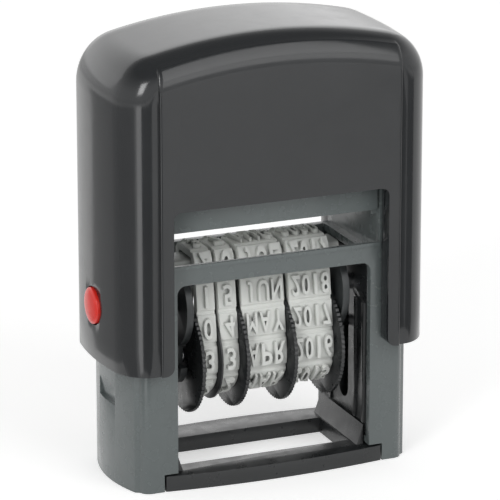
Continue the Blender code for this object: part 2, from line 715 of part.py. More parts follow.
def make_guide_plate(side):
    """A dark liner in a leg: four upright ribs, a slot for the pivot and the cam groove, cut last."""
    inner, outer = LOWER_WINDOW_HALF, LOWER_WINDOW_HALF + CAM_WALL
    low, high = sorted((side * inner, side * outer))
    reach = FRAME_INNER_DEPTH - FIT_GAP
    name = "guide_plate_left" if side < 0 else "guide_plate_right"
    plate = box(name, (low, -reach, GUIDE_BOTTOM), (high, reach, GUIDE_TOP), PARTS)
    near, far = sorted((side * (inner - GUIDE_RIB_RISE), side * (inner + CAM_WALL / 2)))
    half = GUIDE_RIB_WIDTH / 2
    low = FOOT_HEIGHT + FOOT_RAMP_HEIGHT + FIT_GAP
    high = low + GUIDE_RIB_LENGTH
    for y in (-GUIDE_RIB_FRONT, -GUIDE_RIB_INNER, GUIDE_RIB_INNER, GUIDE_RIB_FRONT):
        rib = box(name + "_rib", (near, y - half, low), (far, y + half, high), CUTTERS)
        boolean(plate, rib, "UNION")
    boolean(plate, pivot_slot(name))
    boolean(plate, cam_groove(name, side))
    return finish(plate, "black plastic")


def pivot_slot(name):
    """An upright slot, where the pivot pin runs down."""
    half = PIVOT_RADIUS + RUNNING_GAP
    low = PIVOT_HEIGHT - PRESS_TRAVEL - half
    high = PIVOT_HEIGHT + half
    outline = arc((0, high - half), half, 0, 180, 8) + arc((0, low + half), half, 180, 360, 8)
    reach = LOWER_WINDOW_HALF + CAM_WALL + RUNNING_GAP
    return extruded(name + "_slot", [outline], "X", -reach, reach, CUTTERS)


def cam_path():
    """The way of the flip stud's centre as the cap goes down: half a turn over the whole travel."""
    points = []
    for k in range(CAM_STEPS + 1):
        angle = math.pi * k / CAM_STEPS
        height = PIVOT_HEIGHT - PRESS_TRAVEL * k / CAM_STEPS
        points.append(Vector((STUD_ARM * math.sin(angle), height - STUD_ARM * math.cos(angle))))
    return points


def cam_side(path, radius, hand, first_share, last_share):
    """The points on one side of a stretch of the path that lie clear of the rest of it."""
    side = []
    last = len(path) - 1
    for k in range(round(last * first_share), round(last * last_share) + 1):
        along = path[min(k + 1, last)] - path[max(k - 1, 0)]
        edge = path[k] + Vector((-along[1], along[0])).normalized() * radius * hand
        nearest = min((edge - other).length for other in path)
        if nearest < radius * CAM_CLEAR_SHARE:
            continue
        if not side or (edge - side[-1]).length > CAM_POINT_GAP:
            side.append(edge)
    return side


def cam_groove(name, side):
    """A blind groove in the guide plate: the stud's way out and back, which cross before the turn."""
    radius = STUD_RADIUS + RUNNING_GAP
    path = cam_path()
    mouth = CAM_MOUTH_SHARE
    outline = cam_side(path, radius, 1, 0, 0.5)
    outline += reversed(cam_side(path, radius, -1, mouth, 1 - mouth))
    outline += cam_side(path, radius, 1, 0.5, 1)
    outline += cam_end(path[-1], path[-1] - path[-2], radius)
    outline += reversed(cam_side(path, radius, -1, 1 - mouth, 1))
    outline += reversed(cam_side(path, radius, -1, 0, mouth))
    outline += cam_end(path[0], path[0] - path[1], radius)
    near, far = sorted((
        side * (LOWER_WINDOW_HALF - GUIDE_RIB_RISE - CUT_LAP),
        side * (LOWER_WINDOW_HALF + CAM_GROOVE_DEPTH),
    ))
    return extruded(name + "_groove", [outline], "X", near, far, CUTTERS)


def cam_end(centre, along, radius):
    """The groove's round end, from the left of its way to the right of it."""
    heading = math.degrees(math.atan2(along[1], along[0]))
    return [Vector(point) for point in arc(centre, radius, heading + 80, heading - 80, 8)]


def lock_notch(side):
    """A wedge-shaped catch in the leg's outer side, deepest at its lower edge."""
    half = LOCK_NOTCH_HALF
    face = FRAME_HALF_WIDTH
    outline = [
        (side * (face - LOCK_NOTCH_DEPTH), LOCK_NOTCH_BOTTOM),
        (side * (face + CUT_OVERRUN), LOCK_NOTCH_BOTTOM),
        (side * (face + CUT_OVERRUN), LOCK_NOTCH_TOP),
        (side * face, LOCK_NOTCH_TOP),
    ]
    name = "lock_notch_left" if side < 0 else "lock_notch_right"
    return extruded(name, [outline], "Y", -half, half, CUTTERS)


def make_foot():
    """The foot's ring: bowed bars front and rear, and end plates with a ramp up to the legs."""
    bar = []
    for k in range(CURVE_POINTS + 1):
        x = FOOT_HALF_LENGTH * (2 * k / CURVE_POINTS - 1)
        bow = FOOT_BULGE * (1 - (x / FOOT_HALF_LENGTH) ** 2)
        bar.append((x, -FRAME_HALF_DEPTH - bow))
    outline = bar + [(-x, -y) for x, y in bar]
    foot = extruded("foot_frame", [outline], "Z", 0, FOOT_HEIGHT, PARTS)
    half_x, half_y = FOOT_OPENING_HALF_X, FOOT_OPENING_HALF_Y
    hole = box(
        "foot_opening", (-half_x, -half_y, -CUT_OVERRUN), (half_x, half_y, FOOT_HEIGHT + CUT_OVERRUN),
        CUTTERS,
    )
    boolean(foot, hole)
    settle(foot)
    bevel(foot, FOOT_EDGE_BEVEL, 2, 50)
    settle(foot)
    inner = LOWER_WINDOW_HALF - FIT_GAP
    inner_y = FRAME_INNER_DEPTH - FIT_GAP
    for side in (-1, 1):
        ramp = [
            (side * (half_x + FOOT_EDGE_BEVEL), FOOT_HEIGHT / 2),
            (side * (half_x + FOOT_EDGE_BEVEL), FOOT_HEIGHT),
            (side * inner, FOOT_HEIGHT + FOOT_RAMP_HEIGHT),
            (side * inner, FOOT_HEIGHT / 2),
        ]
        name = "foot_ramp_left" if side < 0 else "foot_ramp_right"
        wedge = extruded(name, [ramp], "Y", -inner_y, inner_y, CUTTERS)
        boolean(foot, wedge, "UNION")
    return finish(foot, "black plastic")


def make_yoke():
    """The bridge under the cap's roof, with an arm down each leg to the pivots."""
    outer = YOKE_ARM_INNER + YOKE_ARM_THICKNESS
    top = TOTAL_HEIGHT - CAP_WALL - FIT_GAP
    end = PIVOT_HEIGHT - YOKE_END_DROP
    outside = arch_outline(outer, top, end, CAP_CROWN_RADIUS, YOKE_SHOULDER, 6)
    inside = arch_outline(
        YOKE_ARM_INNER, top - YOKE_ARM_THICKNESS, end, CAP_CROWN_RADIUS - YOKE_ARM_THICKNESS,
        YOKE_SHOULDER - YOKE_ARM_THICKNESS, 6,
    )
    half = YOKE_HALF_WIDTH
    yoke = extruded("press_yoke", [outside + list(reversed(inside))], "Y", -half, half, PARTS)
    hole = rod(
        "yoke_bearings", PIVOT_RADIUS + PIN_GAP, (-outer - CUT_OVERRUN, 0, PIVOT_HEIGHT),
        (outer + CUT_OVERRUN, 0, PIVOT_HEIGHT), CUTTERS,
    )
    boolean(yoke, hole)
    return finish(yoke, "black plastic", PRESS)


def make_spring():
    """The return spring between the frame's roof and the yoke, one unbroken wire."""
    low = FRAME_TOP + FIT_GAP + SPRING_WIRE_RADIUS
    high = TOTAL_HEIGHT - CAP_WALL - FIT_GAP * 2 - YOKE_ARM_THICKNESS - SPRING_WIRE_RADIUS
    high -= CAP_CROWN_RADIUS - math.sqrt(CAP_CROWN_RADIUS ** 2 - SPRING_RADIUS ** 2)
    count = SPRING_TURNS * SPRING_POINTS_PER_TURN
    points = []
    for k in range(count + 1):
        angle = 2 * math.pi * k / SPRING_POINTS_PER_TURN
        share = min(max((k / count - SPRING_END_SHARE) / (1 - 2 * SPRING_END_SHARE), 0), 1)
        rise = SPRING_END_RISE_SHARE * k / count + (1 - SPRING_END_RISE_SHARE) * share
        height = low + (high - low) * rise
        points.append((SPRING_RADIUS * math.cos(angle), SPRING_RADIUS * math.sin(angle), height))
    least = min(
        math.dist(a, b) for i, a in enumerate(points)
        for b in points[i + SPRING_POINTS_PER_TURN // 2:]
    )
    print("return_spring least gap between turns, mm: %.2f" % ((least - 2 * SPRING_WIRE_RADIUS) / MM))
    spring = wire("return_spring", points, SPRING_WIRE_RADIUS, 1, PARTS)
    return finish(spring, "steel")


def wire(name, points, radius, resolution, group):
    curve = bpy.data.curves.new(name, "CURVE")
    curve.dimensions = "3D"
    curve.bevel_depth = radius
    curve.bevel_resolution = resolution
    curve.use_fill_caps = True
    spline = curve.splines.new("POLY")
    spline.points.add(len(points) - 1)
    for point, place in zip(spline.points, points):
        point.co = (*place, 1)
    return from_curve(name, curve, Matrix.Identity(4), group)


def make_cassette():
    """The ink pad's cassette: a tray on the rails, a grip face in front and a collar below."""
    half = UPPER_WINDOW_HALF - CASSETTE_SIDE_GAP
    front = -FRAME_HALF_DEPTH + CASSETTE_FRONT_SET
    rear = FRAME_INNER_DEPTH - FIT_GAP
    cassette = box("pad_cassette", (-half, front, CASSETTE_BOTTOM), (half, rear, CASSETTE_TOP), PARTS)
    hollow = box(
        "cassette_hollow", (CASSETTE_WALL - half, front + CASSETTE_FACE, CASSETTE_BOTTOM + CASSETTE_WALL),
        (half - CASSETTE_WALL, rear - CASSETTE_WALL, CASSETTE_TOP + CUT_OVERRUN), CUTTERS,
    )
    boolean(cassette, hollow)
    collar_x = PAD_HALF_X + FIT_GAP + CASSETTE_COLLAR
    collar_y = PAD_HALF_Y + FIT_GAP + CASSETTE_COLLAR
    collar = box(
        "pad_collar", (-collar_x, -collar_y, CASSETTE_BOTTOM - CASSETTE_COLLAR_DROP),
        (collar_x, collar_y, CASSETTE_BOTTOM + CASSETTE_WALL / 2), CUTTERS,
    )
    boolean(cassette, collar, "UNION")
    well_x = PAD_HALF_X + FIT_GAP
    well_y = PAD_HALF_Y + FIT_GAP
    well = box(
        "pad_well", (-well_x, -well_y, PAD_BOTTOM - CUT_OVERRUN),
        (well_x, well_y, CASSETTE_BOTTOM + CASSETTE_WALL / 2), CUTTERS,
    )
    boolean(cassette, well)
    return finish(cassette, "frame plastic", PAD_SLIDE)


def make_pad():
    top = CASSETTE_BOTTOM + CASSETTE_WALL / 2 - FIT_GAP
    pad = box("pad_felt", (-PAD_HALF_X, -PAD_HALF_Y, PAD_BOTTOM), (PAD_HALF_X, PAD_HALF_Y, top), PARTS)
    bevel(pad, PAD_EDGE, 2)
    return finish(pad, "pad felt", PAD_SLIDE)


def band_layout():
    """Each band's name, left edge and width, with room for the discs between them."""
    disc_room = DISC_THICKNESS + 2 * BAND_SIDE_GAP
    flange_room = SMALL_FLANGE_THICKNESS + 2 * BAND_SIDE_GAP
    edge_room = SIDE_PLATE_THICKNESS + SIDE_PLATE_GAP + DISC_THICKNESS + BAND_SIDE_GAP
    left = UNIT_LEFT_GAP + edge_room - LOWER_WINDOW_HALF
    right = LOWER_WINDOW_HALF - UNIT_RIGHT_GAP - edge_room
    band_room = right - left - flange_room - 2 * disc_room
    rows = []
    for name, share in BAND_WIDTH_SHARES:
        width = band_room * share
        rows.append((name, left, width))
        left += width + (flange_room if name == "day_tens" else disc_room)
    return rows


def band_path(inset):
    """Half of the band's way, from the middle of the print face down the front to the lowest point.

    Gives pieces of (length, function from length to place and outward direction).
    """
    top = PRINT_FACE_TOP - BAND_TILE_RISE - inset
    corner = max(BAND_TOP_CORNER - inset, BAND_TOP_CORNER * LEAST_RADIUS_SHARE)
    half = BAND_TOP_HALF - inset
    radius = BAND_WHEEL_RADIUS - inset
    corner_centre = Vector((-(half - corner), top - corner))
    wheel_centre = Vector((0, AXLE_HEIGHT))
    span = wheel_centre - corner_centre
    lean = math.asin((radius - corner) / span.length) - math.atan2(span[0], -span[1])
    flat = half - corner
    turn = math.pi / 2 - lean
    run = math.sqrt(span.length_squared - (radius - corner) ** 2)
    bottom = math.pi / 2 + lean

    def on_flat(s):
        return Vector((-s, top)), Vector((0, 1))

    def on_corner(s):
        angle = math.pi / 2 + s / corner
        out = Vector((math.cos(angle), math.sin(angle)))
        return corner_centre + out * corner, out

    def on_run(s):
        out = Vector((-math.cos(lean), math.sin(lean)))
        along = Vector((-math.sin(lean), -math.cos(lean)))
        return corner_centre + out * corner + along * s, out

    def on_wheel(s):
        angle = math.pi - lean + s / radius
        out = Vector((math.cos(angle), math.sin(angle)))
        return wheel_centre + out * radius, out

    return [(flat, on_flat), (corner * turn, on_corner), (run, on_run), (radius * bottom, on_wheel)]


def place_on(pieces, s):
    for length, place in pieces:
        if s <= length:
            return place(s)
        s -= length
    return pieces[-1][1](pieces[-1][0])


def band_point(pieces, half_length, s, rise):
    """A place on the whole loop; past half the length it mirrors to the rear."""
    s %= 2 * half_length
    mirrored = s > half_length
    place, out = place_on(pieces, 2 * half_length - s if mirrored else s)
    point = place + out * rise
    return (-point[0], point[1]) if mirrored else (point[0], point[1])


def make_band(name, left, width):
    """A rubber loop round the print bar and the wheel, with a raised tile for each row."""
    pieces = band_path(0)
    half_length = sum(length for length, _ in pieces)
    pitch = 2 * half_length / BAND_ROWS
    outer = []
    for row in range(BAND_ROWS):
        middle = row * pitch
        half = BAND_TILE_LENGTH / 2
        outer.append(band_point(pieces, half_length, middle - half - BAND_TILE_SLOPE, 0))
        for share in BAND_TILE_SHARES:
            outer.append(band_point(pieces, half_length, middle + half * share, BAND_TILE_RISE))
        outer.append(band_point(pieces, half_length, middle + half + BAND_TILE_SLOPE, 0))
    inner_pieces = band_path(BAND_THICKNESS)
    inner_half = sum(length for length, _ in inner_pieces)
    steps = BAND_ROWS * BAND_POINTS_PER_ROW
    inner = [
        band_point(inner_pieces, inner_half, 2 * inner_half * k / steps, 0) for k in range(steps)
    ]
    band = extruded(name + "_band", [outer, inner], "X", left, left + width, PARTS)
    return finish(band, "band rubber", FLIP)


def toothed_outline(radius, depth, teeth):
    points = []
    for k in range(teeth * 2):
        angle = math.pi * k / teeth
        reach = radius - depth * (k % 2)
        points.append((reach * math.cos(angle), reach * math.sin(angle)))
    return points


def round_outline(radius, sides, lift=0):
    return [
        (radius * math.cos(2 * math.pi * k / sides), lift + radius * math.sin(2 * math.pi * k / sides))
        for k in range(sides)
    ]


def make_wheel(name, left, width, disc_side, flange_side, parent):
    """A turning wheel: a twelve-sided hub inside the band and a toothed thumb disc beside it."""
    bore = round_outline(BORE_RADIUS, 24)
    hub_low = left
    hub_high = left + width
    disc = toothed_outline(DISC_RADIUS, DISC_TOOTH_DEPTH, DISC_TEETH)
    if disc_side < 0:
        disc_low, disc_high = left - BAND_SIDE_GAP - DISC_THICKNESS, left - BAND_SIDE_GAP
    else:
        disc_low = left + width + BAND_SIDE_GAP
        disc_high = disc_low + DISC_THICKNESS
    hub_low = min(hub_low, disc_high - DISC_THICKNESS / 2)
    hub_high = max(hub_high, disc_low + DISC_THICKNESS / 2)
    wheel = extruded(name + "_wheel", [disc, bore], "X", disc_low, disc_high, PARTS)
    if flange_side:
        flange_low = left + width + BAND_SIDE_GAP
        flange_high = flange_low + SMALL_FLANGE_THICKNESS
        hub_high = flange_high - SMALL_FLANGE_THICKNESS / 2
        flange = extruded(
            name + "_flange", [round_outline(SMALL_FLANGE_RADIUS, 40), bore], "X",
            flange_low, flange_high, CUTTERS,
        )
    hub = extruded(
        name + "_hub", [round_outline(HUB_RADIUS, HUB_SIDES), bore], "X", hub_low, hub_high, CUTTERS
    )
    if flange_side:
        boolean(hub, flange, "UNION")
    boolean(wheel, hub, "UNION")
    settle(wheel)
    wheel.data.transform(Matrix.Translation((0, 0, AXLE_HEIGHT)))
    return finish(wheel, "black plastic", parent)


def unit_inner_faces():
    """The insides of the two side plates, beside the outermost discs."""
    rows = band_layout()
    left = rows[0][1] - BAND_SIDE_GAP - DISC_THICKNESS - SIDE_PLATE_GAP
    right = rows[-1][1] + rows[-1][2] + BAND_SIDE_GAP + DISC_THICKNESS + SIDE_PLATE_GAP
    return left, right


def bar_bottom():
    return bar_top() - PRINT_BAR_DEPTH


def bar_top():
    return PRINT_FACE_TOP - BAND_TILE_RISE - BAND_THICKNESS - FIT_GAP


def make_side_plate(side):
    """A carrier plate of the print unit: a round lobe at the pivot, a neck and a half-round end."""
    left, right = unit_inner_faces()
    if side < 0:
        low, high = left - SIDE_PLATE_THICKNESS, left
        name = "carrier_plate_left"
    else:
        low, high = right, right + SIDE_PLATE_THICKNESS
        name = "carrier_plate_right"
    top = bar_bottom() - FIT_GAP
    start = SIDE_PLATE_END_START
    end = arc((0, AXLE_HEIGHT), SIDE_PLATE_END_RADIUS, 180 + start, 360 - start, 12)
    neck = (SIDE_PLATE_NECK_HALF, end[-1][1])
    lobe = arc(
        (0, PIVOT_HEIGHT), SIDE_PLATE_LOBE_RADIUS, -SIDE_PLATE_LOBE_START, SIDE_PLATE_LOBE_END, 10
    )
    right_side = [neck] + lobe + [(SIDE_PLATE_HALF_TOP, top)]
    outline = end + right_side + [(-y, z) for y, z in reversed(right_side)]
    holes = [
        round_outline(BORE_RADIUS, 24, AXLE_HEIGHT),
        round_outline(PIVOT_RADIUS + PIN_GAP, 24, PIVOT_HEIGHT),
        round_outline(STUD_RADIUS + STUD_HOLE_GAP, 16, PIVOT_HEIGHT - STUD_ARM),
    ]
    plate = extruded(name, [outline] + holes, "X", low, high, PARTS)
    bevel(plate, SIDE_PLATE_EDGE, 1, 60)
    return finish(plate, "black plastic", FLIP)


def make_print_bar():
    """The bar that backs the print face, on top of the side plates."""
    half = BAND_TOP_HALF - BAND_THICKNESS - FIT_GAP
    outline = rounded_box_outline(half, bar_bottom(), bar_top(), PRINT_BAR_EDGE)
    bar = extruded(
        "print_bar", [outline], "X", -PRINT_BAR_HALF_LENGTH, PRINT_BAR_HALF_LENGTH, PARTS
    )
    return finish(bar, "bar plastic", FLIP)


def make_axle():
    left, right = unit_inner_faces()
    reach = SIDE_PLATE_THICKNESS + SIDE_PLATE_GAP / 2
    axle = rod(
        "wheel_axle", AXLE_RADIUS, (left - reach, 0, AXLE_HEIGHT), (right + reach, 0, AXLE_HEIGHT), PARTS
    )
    return finish(axle, "steel", FLIP)


def make_pivot_pin(side):
    """A headed pin through the side plate and the cam wall's slot into the yoke's arm."""
    left, right = unit_inner_faces()
    face = right if side > 0 else -left
    inner = face - PIVOT_HEAD_THICKNESS
    outer = YOKE_ARM_INNER + YOKE_ARM_THICKNESS
    name = "pivot_pin_right" if side > 0 else "pivot_pin_left"
    profile = [
        (0, outer), (PIVOT_RADIUS, outer), (PIVOT_RADIUS, face - PIVOT_HEAD_GAP),
        (PIVOT_HEAD_RADIUS, face - PIVOT_HEAD_GAP), (PIVOT_HEAD_RADIUS, inner), (0, inner),
    ]
    pin = turned(name, profile, 24, PARTS)
    pin.data.transform(Matrix.Translation((0, 0, PIVOT_HEIGHT)) @ turn_to_x(side))
    return finish(pin, "steel", FLIP)


def make_flip_stud(side):
    """The stud that follows the cam groove and turns the unit."""
    left, right = unit_inner_faces()
    inner = right if side > 0 else -left
    outer = LOWER_WINDOW_HALF + CAM_GROOVE_DEPTH - RUNNING_GAP
    name = "flip_stud_right" if side > 0 else "flip_stud_left"
    height = PIVOT_HEIGHT - STUD_ARM
    stud = rod(name, STUD_RADIUS, (side * inner, 0, height), (side * outer, 0, height), PARTS, 20)
    return finish(stud, "steel", FLIP)


clear_scene()
PARTS = new_collection("self_inking_date_stamp")
CUTTERS = new_collection("cutters")

PRESS = joint_empty("press_axis", (0, 0, TOTAL_HEIGHT))
FLIP = joint_empty("flip_axis", (0, 0, PIVOT_HEIGHT), PRESS)
PAD_SLIDE = joint_empty("pad_axis", (0, 0, CASSETTE_BOTTOM))

make_frame()
make_foot()
make_cap()
make_yoke()
make_spring()
make_cassette()
make_pad()
make_print_bar()
make_axle()
for side in (-1, 1):
    make_guide_plate(side)
    make_side_plate(side)
    make_pivot_pin(side)
    make_flip_stud(side)
    button_place = joint_empty(
        "button_axis_left" if side < 0 else "button_axis_right", (side * CAP_HALF, 0, BUTTON_HEIGHT), PRESS
    )
    make_button(side, button_place)
for band_name, band_left, band_width in band_layout():
    make_band(band_name, band_left, band_width)
    wheel_place = joint_empty(band_name + "_axis", (band_left, 0, AXLE_HEIGHT), FLIP)
    make_wheel(
        band_name, band_left, band_width, -1 if band_name == "day_tens" else 1,
        band_name == "day_tens", wheel_place,
    )
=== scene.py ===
import math
import random

import bmesh
import bpy
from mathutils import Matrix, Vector, noise


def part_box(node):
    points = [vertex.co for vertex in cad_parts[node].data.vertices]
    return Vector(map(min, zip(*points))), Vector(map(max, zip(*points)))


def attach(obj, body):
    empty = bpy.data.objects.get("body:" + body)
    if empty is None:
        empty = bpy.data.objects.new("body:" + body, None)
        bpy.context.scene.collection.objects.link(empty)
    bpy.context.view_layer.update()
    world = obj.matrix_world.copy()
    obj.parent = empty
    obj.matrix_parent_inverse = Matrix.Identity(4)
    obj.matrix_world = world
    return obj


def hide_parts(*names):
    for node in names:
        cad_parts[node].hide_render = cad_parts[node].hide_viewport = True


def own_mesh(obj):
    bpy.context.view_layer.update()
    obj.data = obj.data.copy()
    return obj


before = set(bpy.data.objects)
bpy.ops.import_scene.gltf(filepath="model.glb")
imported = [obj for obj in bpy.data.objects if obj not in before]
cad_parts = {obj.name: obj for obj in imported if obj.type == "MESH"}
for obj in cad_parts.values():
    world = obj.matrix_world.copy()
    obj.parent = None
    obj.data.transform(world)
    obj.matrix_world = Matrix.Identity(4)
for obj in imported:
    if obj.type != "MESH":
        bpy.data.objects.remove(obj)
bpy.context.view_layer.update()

MM = 0.001

# Camera: a long lens a little above the stamp, in front of its left side.
# Its place comes from fitting the photograph's edges to the stamp's sizes.
camera_turn = math.radians(22.8)
camera_rise = math.radians(17.5)
camera_distance, aim_height = 601.5, 33
camera_back = Vector((
    -math.sin(camera_turn) * math.cos(camera_rise),
    -math.cos(camera_turn) * math.cos(camera_rise),
    math.sin(camera_rise),
))
camera_data = bpy.data.cameras.new("camera")
camera_data.sensor_width = 36
camera_data.lens = 281.5
camera_data.shift_y = 0.0082
camera_data.clip_start = 50 * MM
camera_data.clip_end = 10000 * MM
camera = bpy.data.objects.new("camera", camera_data)
bpy.context.scene.collection.objects.link(camera)
camera.location = Vector((0, 0, aim_height * MM)) + camera_back * camera_distance * MM
camera.rotation_mode = "QUATERNION"
camera.rotation_quaternion = (-camera_back).to_track_quat("-Z", "Y")
bpy.context.scene.camera = camera
bpy.context.scene.view_settings.view_transform = "Standard"


def linear(hex_colour):
    """An sRGB hex colour as the linear colour that a shader takes."""
    channels = [int(hex_colour[k:k + 2], 16) / 255 for k in (1, 3, 5)]
    return tuple(
        c / 12.92 if c <= 0.04045 else ((c + 0.055) / 1.055) ** 2.4 for c in channels
    ) + (1.0,)


def add_node(tree, kind, settings=None, **links):
    """Adds a node; a setting is one of its values or an input's, and a link feeds an input."""
    made = tree.nodes.new("ShaderNode" + kind)
    for name, value in (settings or {}).items():
        if isinstance(name, str) and hasattr(made, name):
            setattr(made, name, value)
        else:
            made.inputs[name].default_value = value
    for name, source in links.items():
        tree.links.new(source, made.inputs[name.replace("_", " ")])
    return made


def new_material(name):
    made = bpy.data.materials.new(name)
    made.use_nodes = True
    made.node_tree.nodes.clear()
    return made, made.node_tree


# Studio: a seamless white sweep under the stamp, a wall of light behind it, and softboxes in front.
# The sweep and its surroundings show white to the lens and in reflections.
# Only the stamp's shadow darkens it.
sweep_paper, tree = new_material("studio_sweep_paper")
paper_fleck = add_node(tree, "TexNoise", {"Scale": 1 / (40 * MM), "Detail": 3})
paper_white = add_node(tree, "MixRGB", {"Color1": linear("#f4f4f3"), "Color2": linear("#f8f8f8")},
                       Fac=paper_fleck.outputs["Fac"])
paper = add_node(tree, "BsdfDiffuse", Color=paper_white.outputs["Color"])


def seen_directly(tree):
    """One for a camera, glossy or transmission ray, and none for the rays that light the stamp."""
    path = add_node(tree, "LightPath")
    first = add_node(tree, "Math", {"operation": "MAXIMUM"})
    tree.links.new(path.outputs["Is Camera Ray"], first.inputs[0])
    tree.links.new(path.outputs["Is Glossy Ray"], first.inputs[1])
    both = add_node(tree, "Math", {"operation": "MAXIMUM"})
    tree.links.new(first.outputs["Value"], both.inputs[0])
    tree.links.new(path.outputs["Is Transmission Ray"], both.inputs[1])
    return both.outputs["Value"]


sweep_glow = 0.45
glow_share = add_node(tree, "Math", {"operation": "MULTIPLY", 1: sweep_glow})
tree.links.new(seen_directly(tree), glow_share.inputs[0])
glow = add_node(tree, "Emission", {"Color": (1, 1, 1, 1)}, Strength=glow_share.outputs["Value"])
both = add_node(tree, "AddShader")
tree.links.new(paper.outputs["BSDF"], both.inputs[0])
tree.links.new(glow.outputs["Emission"], both.inputs[1])
add_node(tree, "OutputMaterial", Surface=both.outputs["Shader"])

sweep = bpy.data.meshes.new("studio_sweep")
form = bmesh.new()
sweep_reach, sweep_drop = 3000, 0.02
bmesh.ops.create_grid(form, x_segments=1, y_segments=1, size=sweep_reach * MM)
form.to_mesh(sweep)
form.free()
sweep.materials.append(sweep_paper)
floor = bpy.data.objects.new("studio_sweep", sweep)
floor.location.z = -sweep_drop * MM
bpy.context.scene.collection.objects.link(floor)

world = bpy.data.worlds.new("studio")
bpy.context.scene.world = world
world.use_nodes = True
tree = world.node_tree
tree.nodes.clear()
place = add_node(tree, "TexCoord")
height = add_node(tree, "SeparateXYZ", Vector=place.outputs["Generated"])
fade = add_node(
    tree, "MapRange", {"From Min": 0.3, "From Max": 0.75, "To Min": 1.0, "To Max": 0.22},
    Value=height.outputs["Z"])
dim = add_node(tree, "Background", {"Color": (1, 1, 1, 1), "Strength": 0.44})
bright = add_node(tree, "Background", {"Color": (1, 1, 1, 1)}, Strength=fade.outputs["Result"])
seen = add_node(tree, "MixShader", Fac=seen_directly(tree))
tree.links.new(dim.outputs["Background"], seen.inputs[1])
tree.links.new(bright.outputs["Background"], seen.inputs[2])
add_node(tree, "OutputWorld", Surface=seen.outputs["Shader"])


def add_softbox(name, place, aim, size, radiance):
    """A rectangular softbox; its power follows from its size and how bright its face is."""
    data = bpy.data.lights.new(name, "AREA")
    data.shape = "RECTANGLE"
    data.size, data.size_y = size[0] * MM, size[1] * MM
    data.energy = radiance * math.pi * data.size * data.size_y
    box = bpy.data.objects.new(name, data)
    bpy.context.scene.collection.objects.link(box)
    box.location = Vector(place) * MM
    box.rotation_mode = "QUATERNION"
    box.rotation_quaternion = (Vector(aim) * MM - box.location).to_track_quat("-Z", "Y")
    box.visible_camera = False


add_softbox("rear_wall", (0, 720, 320), (0, 0, 70), (1300, 400), 0.6)
add_softbox("left_softbox", (-410, -350, 285), (0, 0, 50), (160, 230), 7.5)
add_softbox("right_softbox", (225, -560, 480), (0, 0, 40), (420, 390), 1.9)
add_softbox("right_softbox_low", (255, -680, 225), (0, 0, 40), (440, 170), 1.35)

# Cards: three grey boards and a strip of light on the sweep, out of the picture beside the stamp.
# They show only in reflections. The boards darken the cap's sides and the strips beside its panel,
# as a photographer's flags do, and the light draws the pale line down the cap's left corner.
def card_board(name, darker, lighter):
    """Matte board, with the faint flecks of its paper face."""
    made, tree = new_material(name)
    fleck = add_node(tree, "TexNoise", {"Scale": 1 / (30 * MM), "Detail": 3})
    grey = add_node(tree, "MixRGB", {"Color1": linear(darker), "Color2": linear(lighter)},
                    Fac=fleck.outputs["Fac"])
    board = add_node(tree, "BsdfDiffuse", Color=grey.outputs["Color"])
    add_node(tree, "OutputMaterial", Surface=board.outputs["BSDF"])
    return made


grey_board = card_board("studio_grey_board", "#a2a2a2", "#acacac")
pale_board = card_board("studio_pale_board", "#dadada", "#e2e2e2")

strip_glow, tree = new_material("studio_light_strip")
strip_fade = add_node(tree, "TexNoise", {"Scale": 1 / (60 * MM), "Detail": 1})
strip_power = add_node(tree, "MapRange", {"To Min": 2.5, "To Max": 3.0},
                       Value=strip_fade.outputs["Fac"])
lit = add_node(tree, "Emission", {"Color": (1, 1, 1, 1)}, Strength=strip_power.outputs["Result"])
add_node(tree, "OutputMaterial", Surface=lit.outputs["Emission"])
card_lift = 0.4


def add_card(name, made_of, corners):
    """A card on the sweep; each corner is a place across the picture and one away from the lens."""
    across = Vector((math.cos(camera_turn), -math.sin(camera_turn), 0))
    away = Vector((math.sin(camera_turn), math.cos(camera_turn), 0))
    form = bmesh.new()
    lift = Vector((0, 0, card_lift))
    form.faces.new([form.verts.new((across * u + away * v + lift) * MM) for u, v in corners])
    mesh = bpy.data.meshes.new(name)
    form.to_mesh(mesh)
    form.free()
    mesh.materials.append(made_of)
    made = bpy.data.objects.new(name, mesh)
    bpy.context.scene.collection.objects.link(made)
    made.visible_camera = made.visible_diffuse = made.visible_shadow = False


add_card("rear_left_card", pale_board,
         ((-27, -32), (-60, -22), (-56, 26), (-340, 300), (-340, -193), (-256, -315)))
add_card("front_left_card", grey_board, ((-26, -52), (-105, -348), (200, -340), (0, -50)))
add_card("right_card", grey_board, ((60, -30), (330, -230), (330, 10), (70, 0)))
add_card("light_strip", strip_glow, ((-29.5, -43), (-222, -340), (-115, -386), (-25, -48)))

# Cap: a hollow arch of black-grey ABS, injection moulded against a polished tool, with a raised
# panel each side. The gloss shows the tool's faint waviness and the film of dust and fingers
# that such a cap has.
cap_half, cap_depth, cap_top, wing_bottom, cap_crown = 25.9, 12.3, 70.6, 19.6, 86.0
cap_shoulder, least_shoulder, side_bulge = 7.5, 2.6, 1.7
edge_depth, edge_inset, edge_steps, side_steps = 5.0, 3.6, 14, 7
cap_wall, face_wall, cut_overrun = 1.4, 2.1, 4
panel_half, panel_depth, panel_shoulder = 19.35, 12.8, 1.0
panel_round, panel_round_start = 0.35, 12.45
panel_core = [(7.0, 70.0), (9.4, 70.0)]
slope_radius, slope_base, slope_steps = 6.2, 65.55, 16
slope_lean = math.radians(38)
window_corner, window_x, window_z = 1.2, 16.4, 43.9
wing_corner, wing_x, wing_z = 1.4, 19.0, 21.0
window_low, window_reach = 15.0, 16
button_height, hole_radius, hole_reach = 28.0, 3.04, 30
pocket_radius, pocket_end = 3.64, 25.35
foot_steps, shoulder_steps = 10, 14


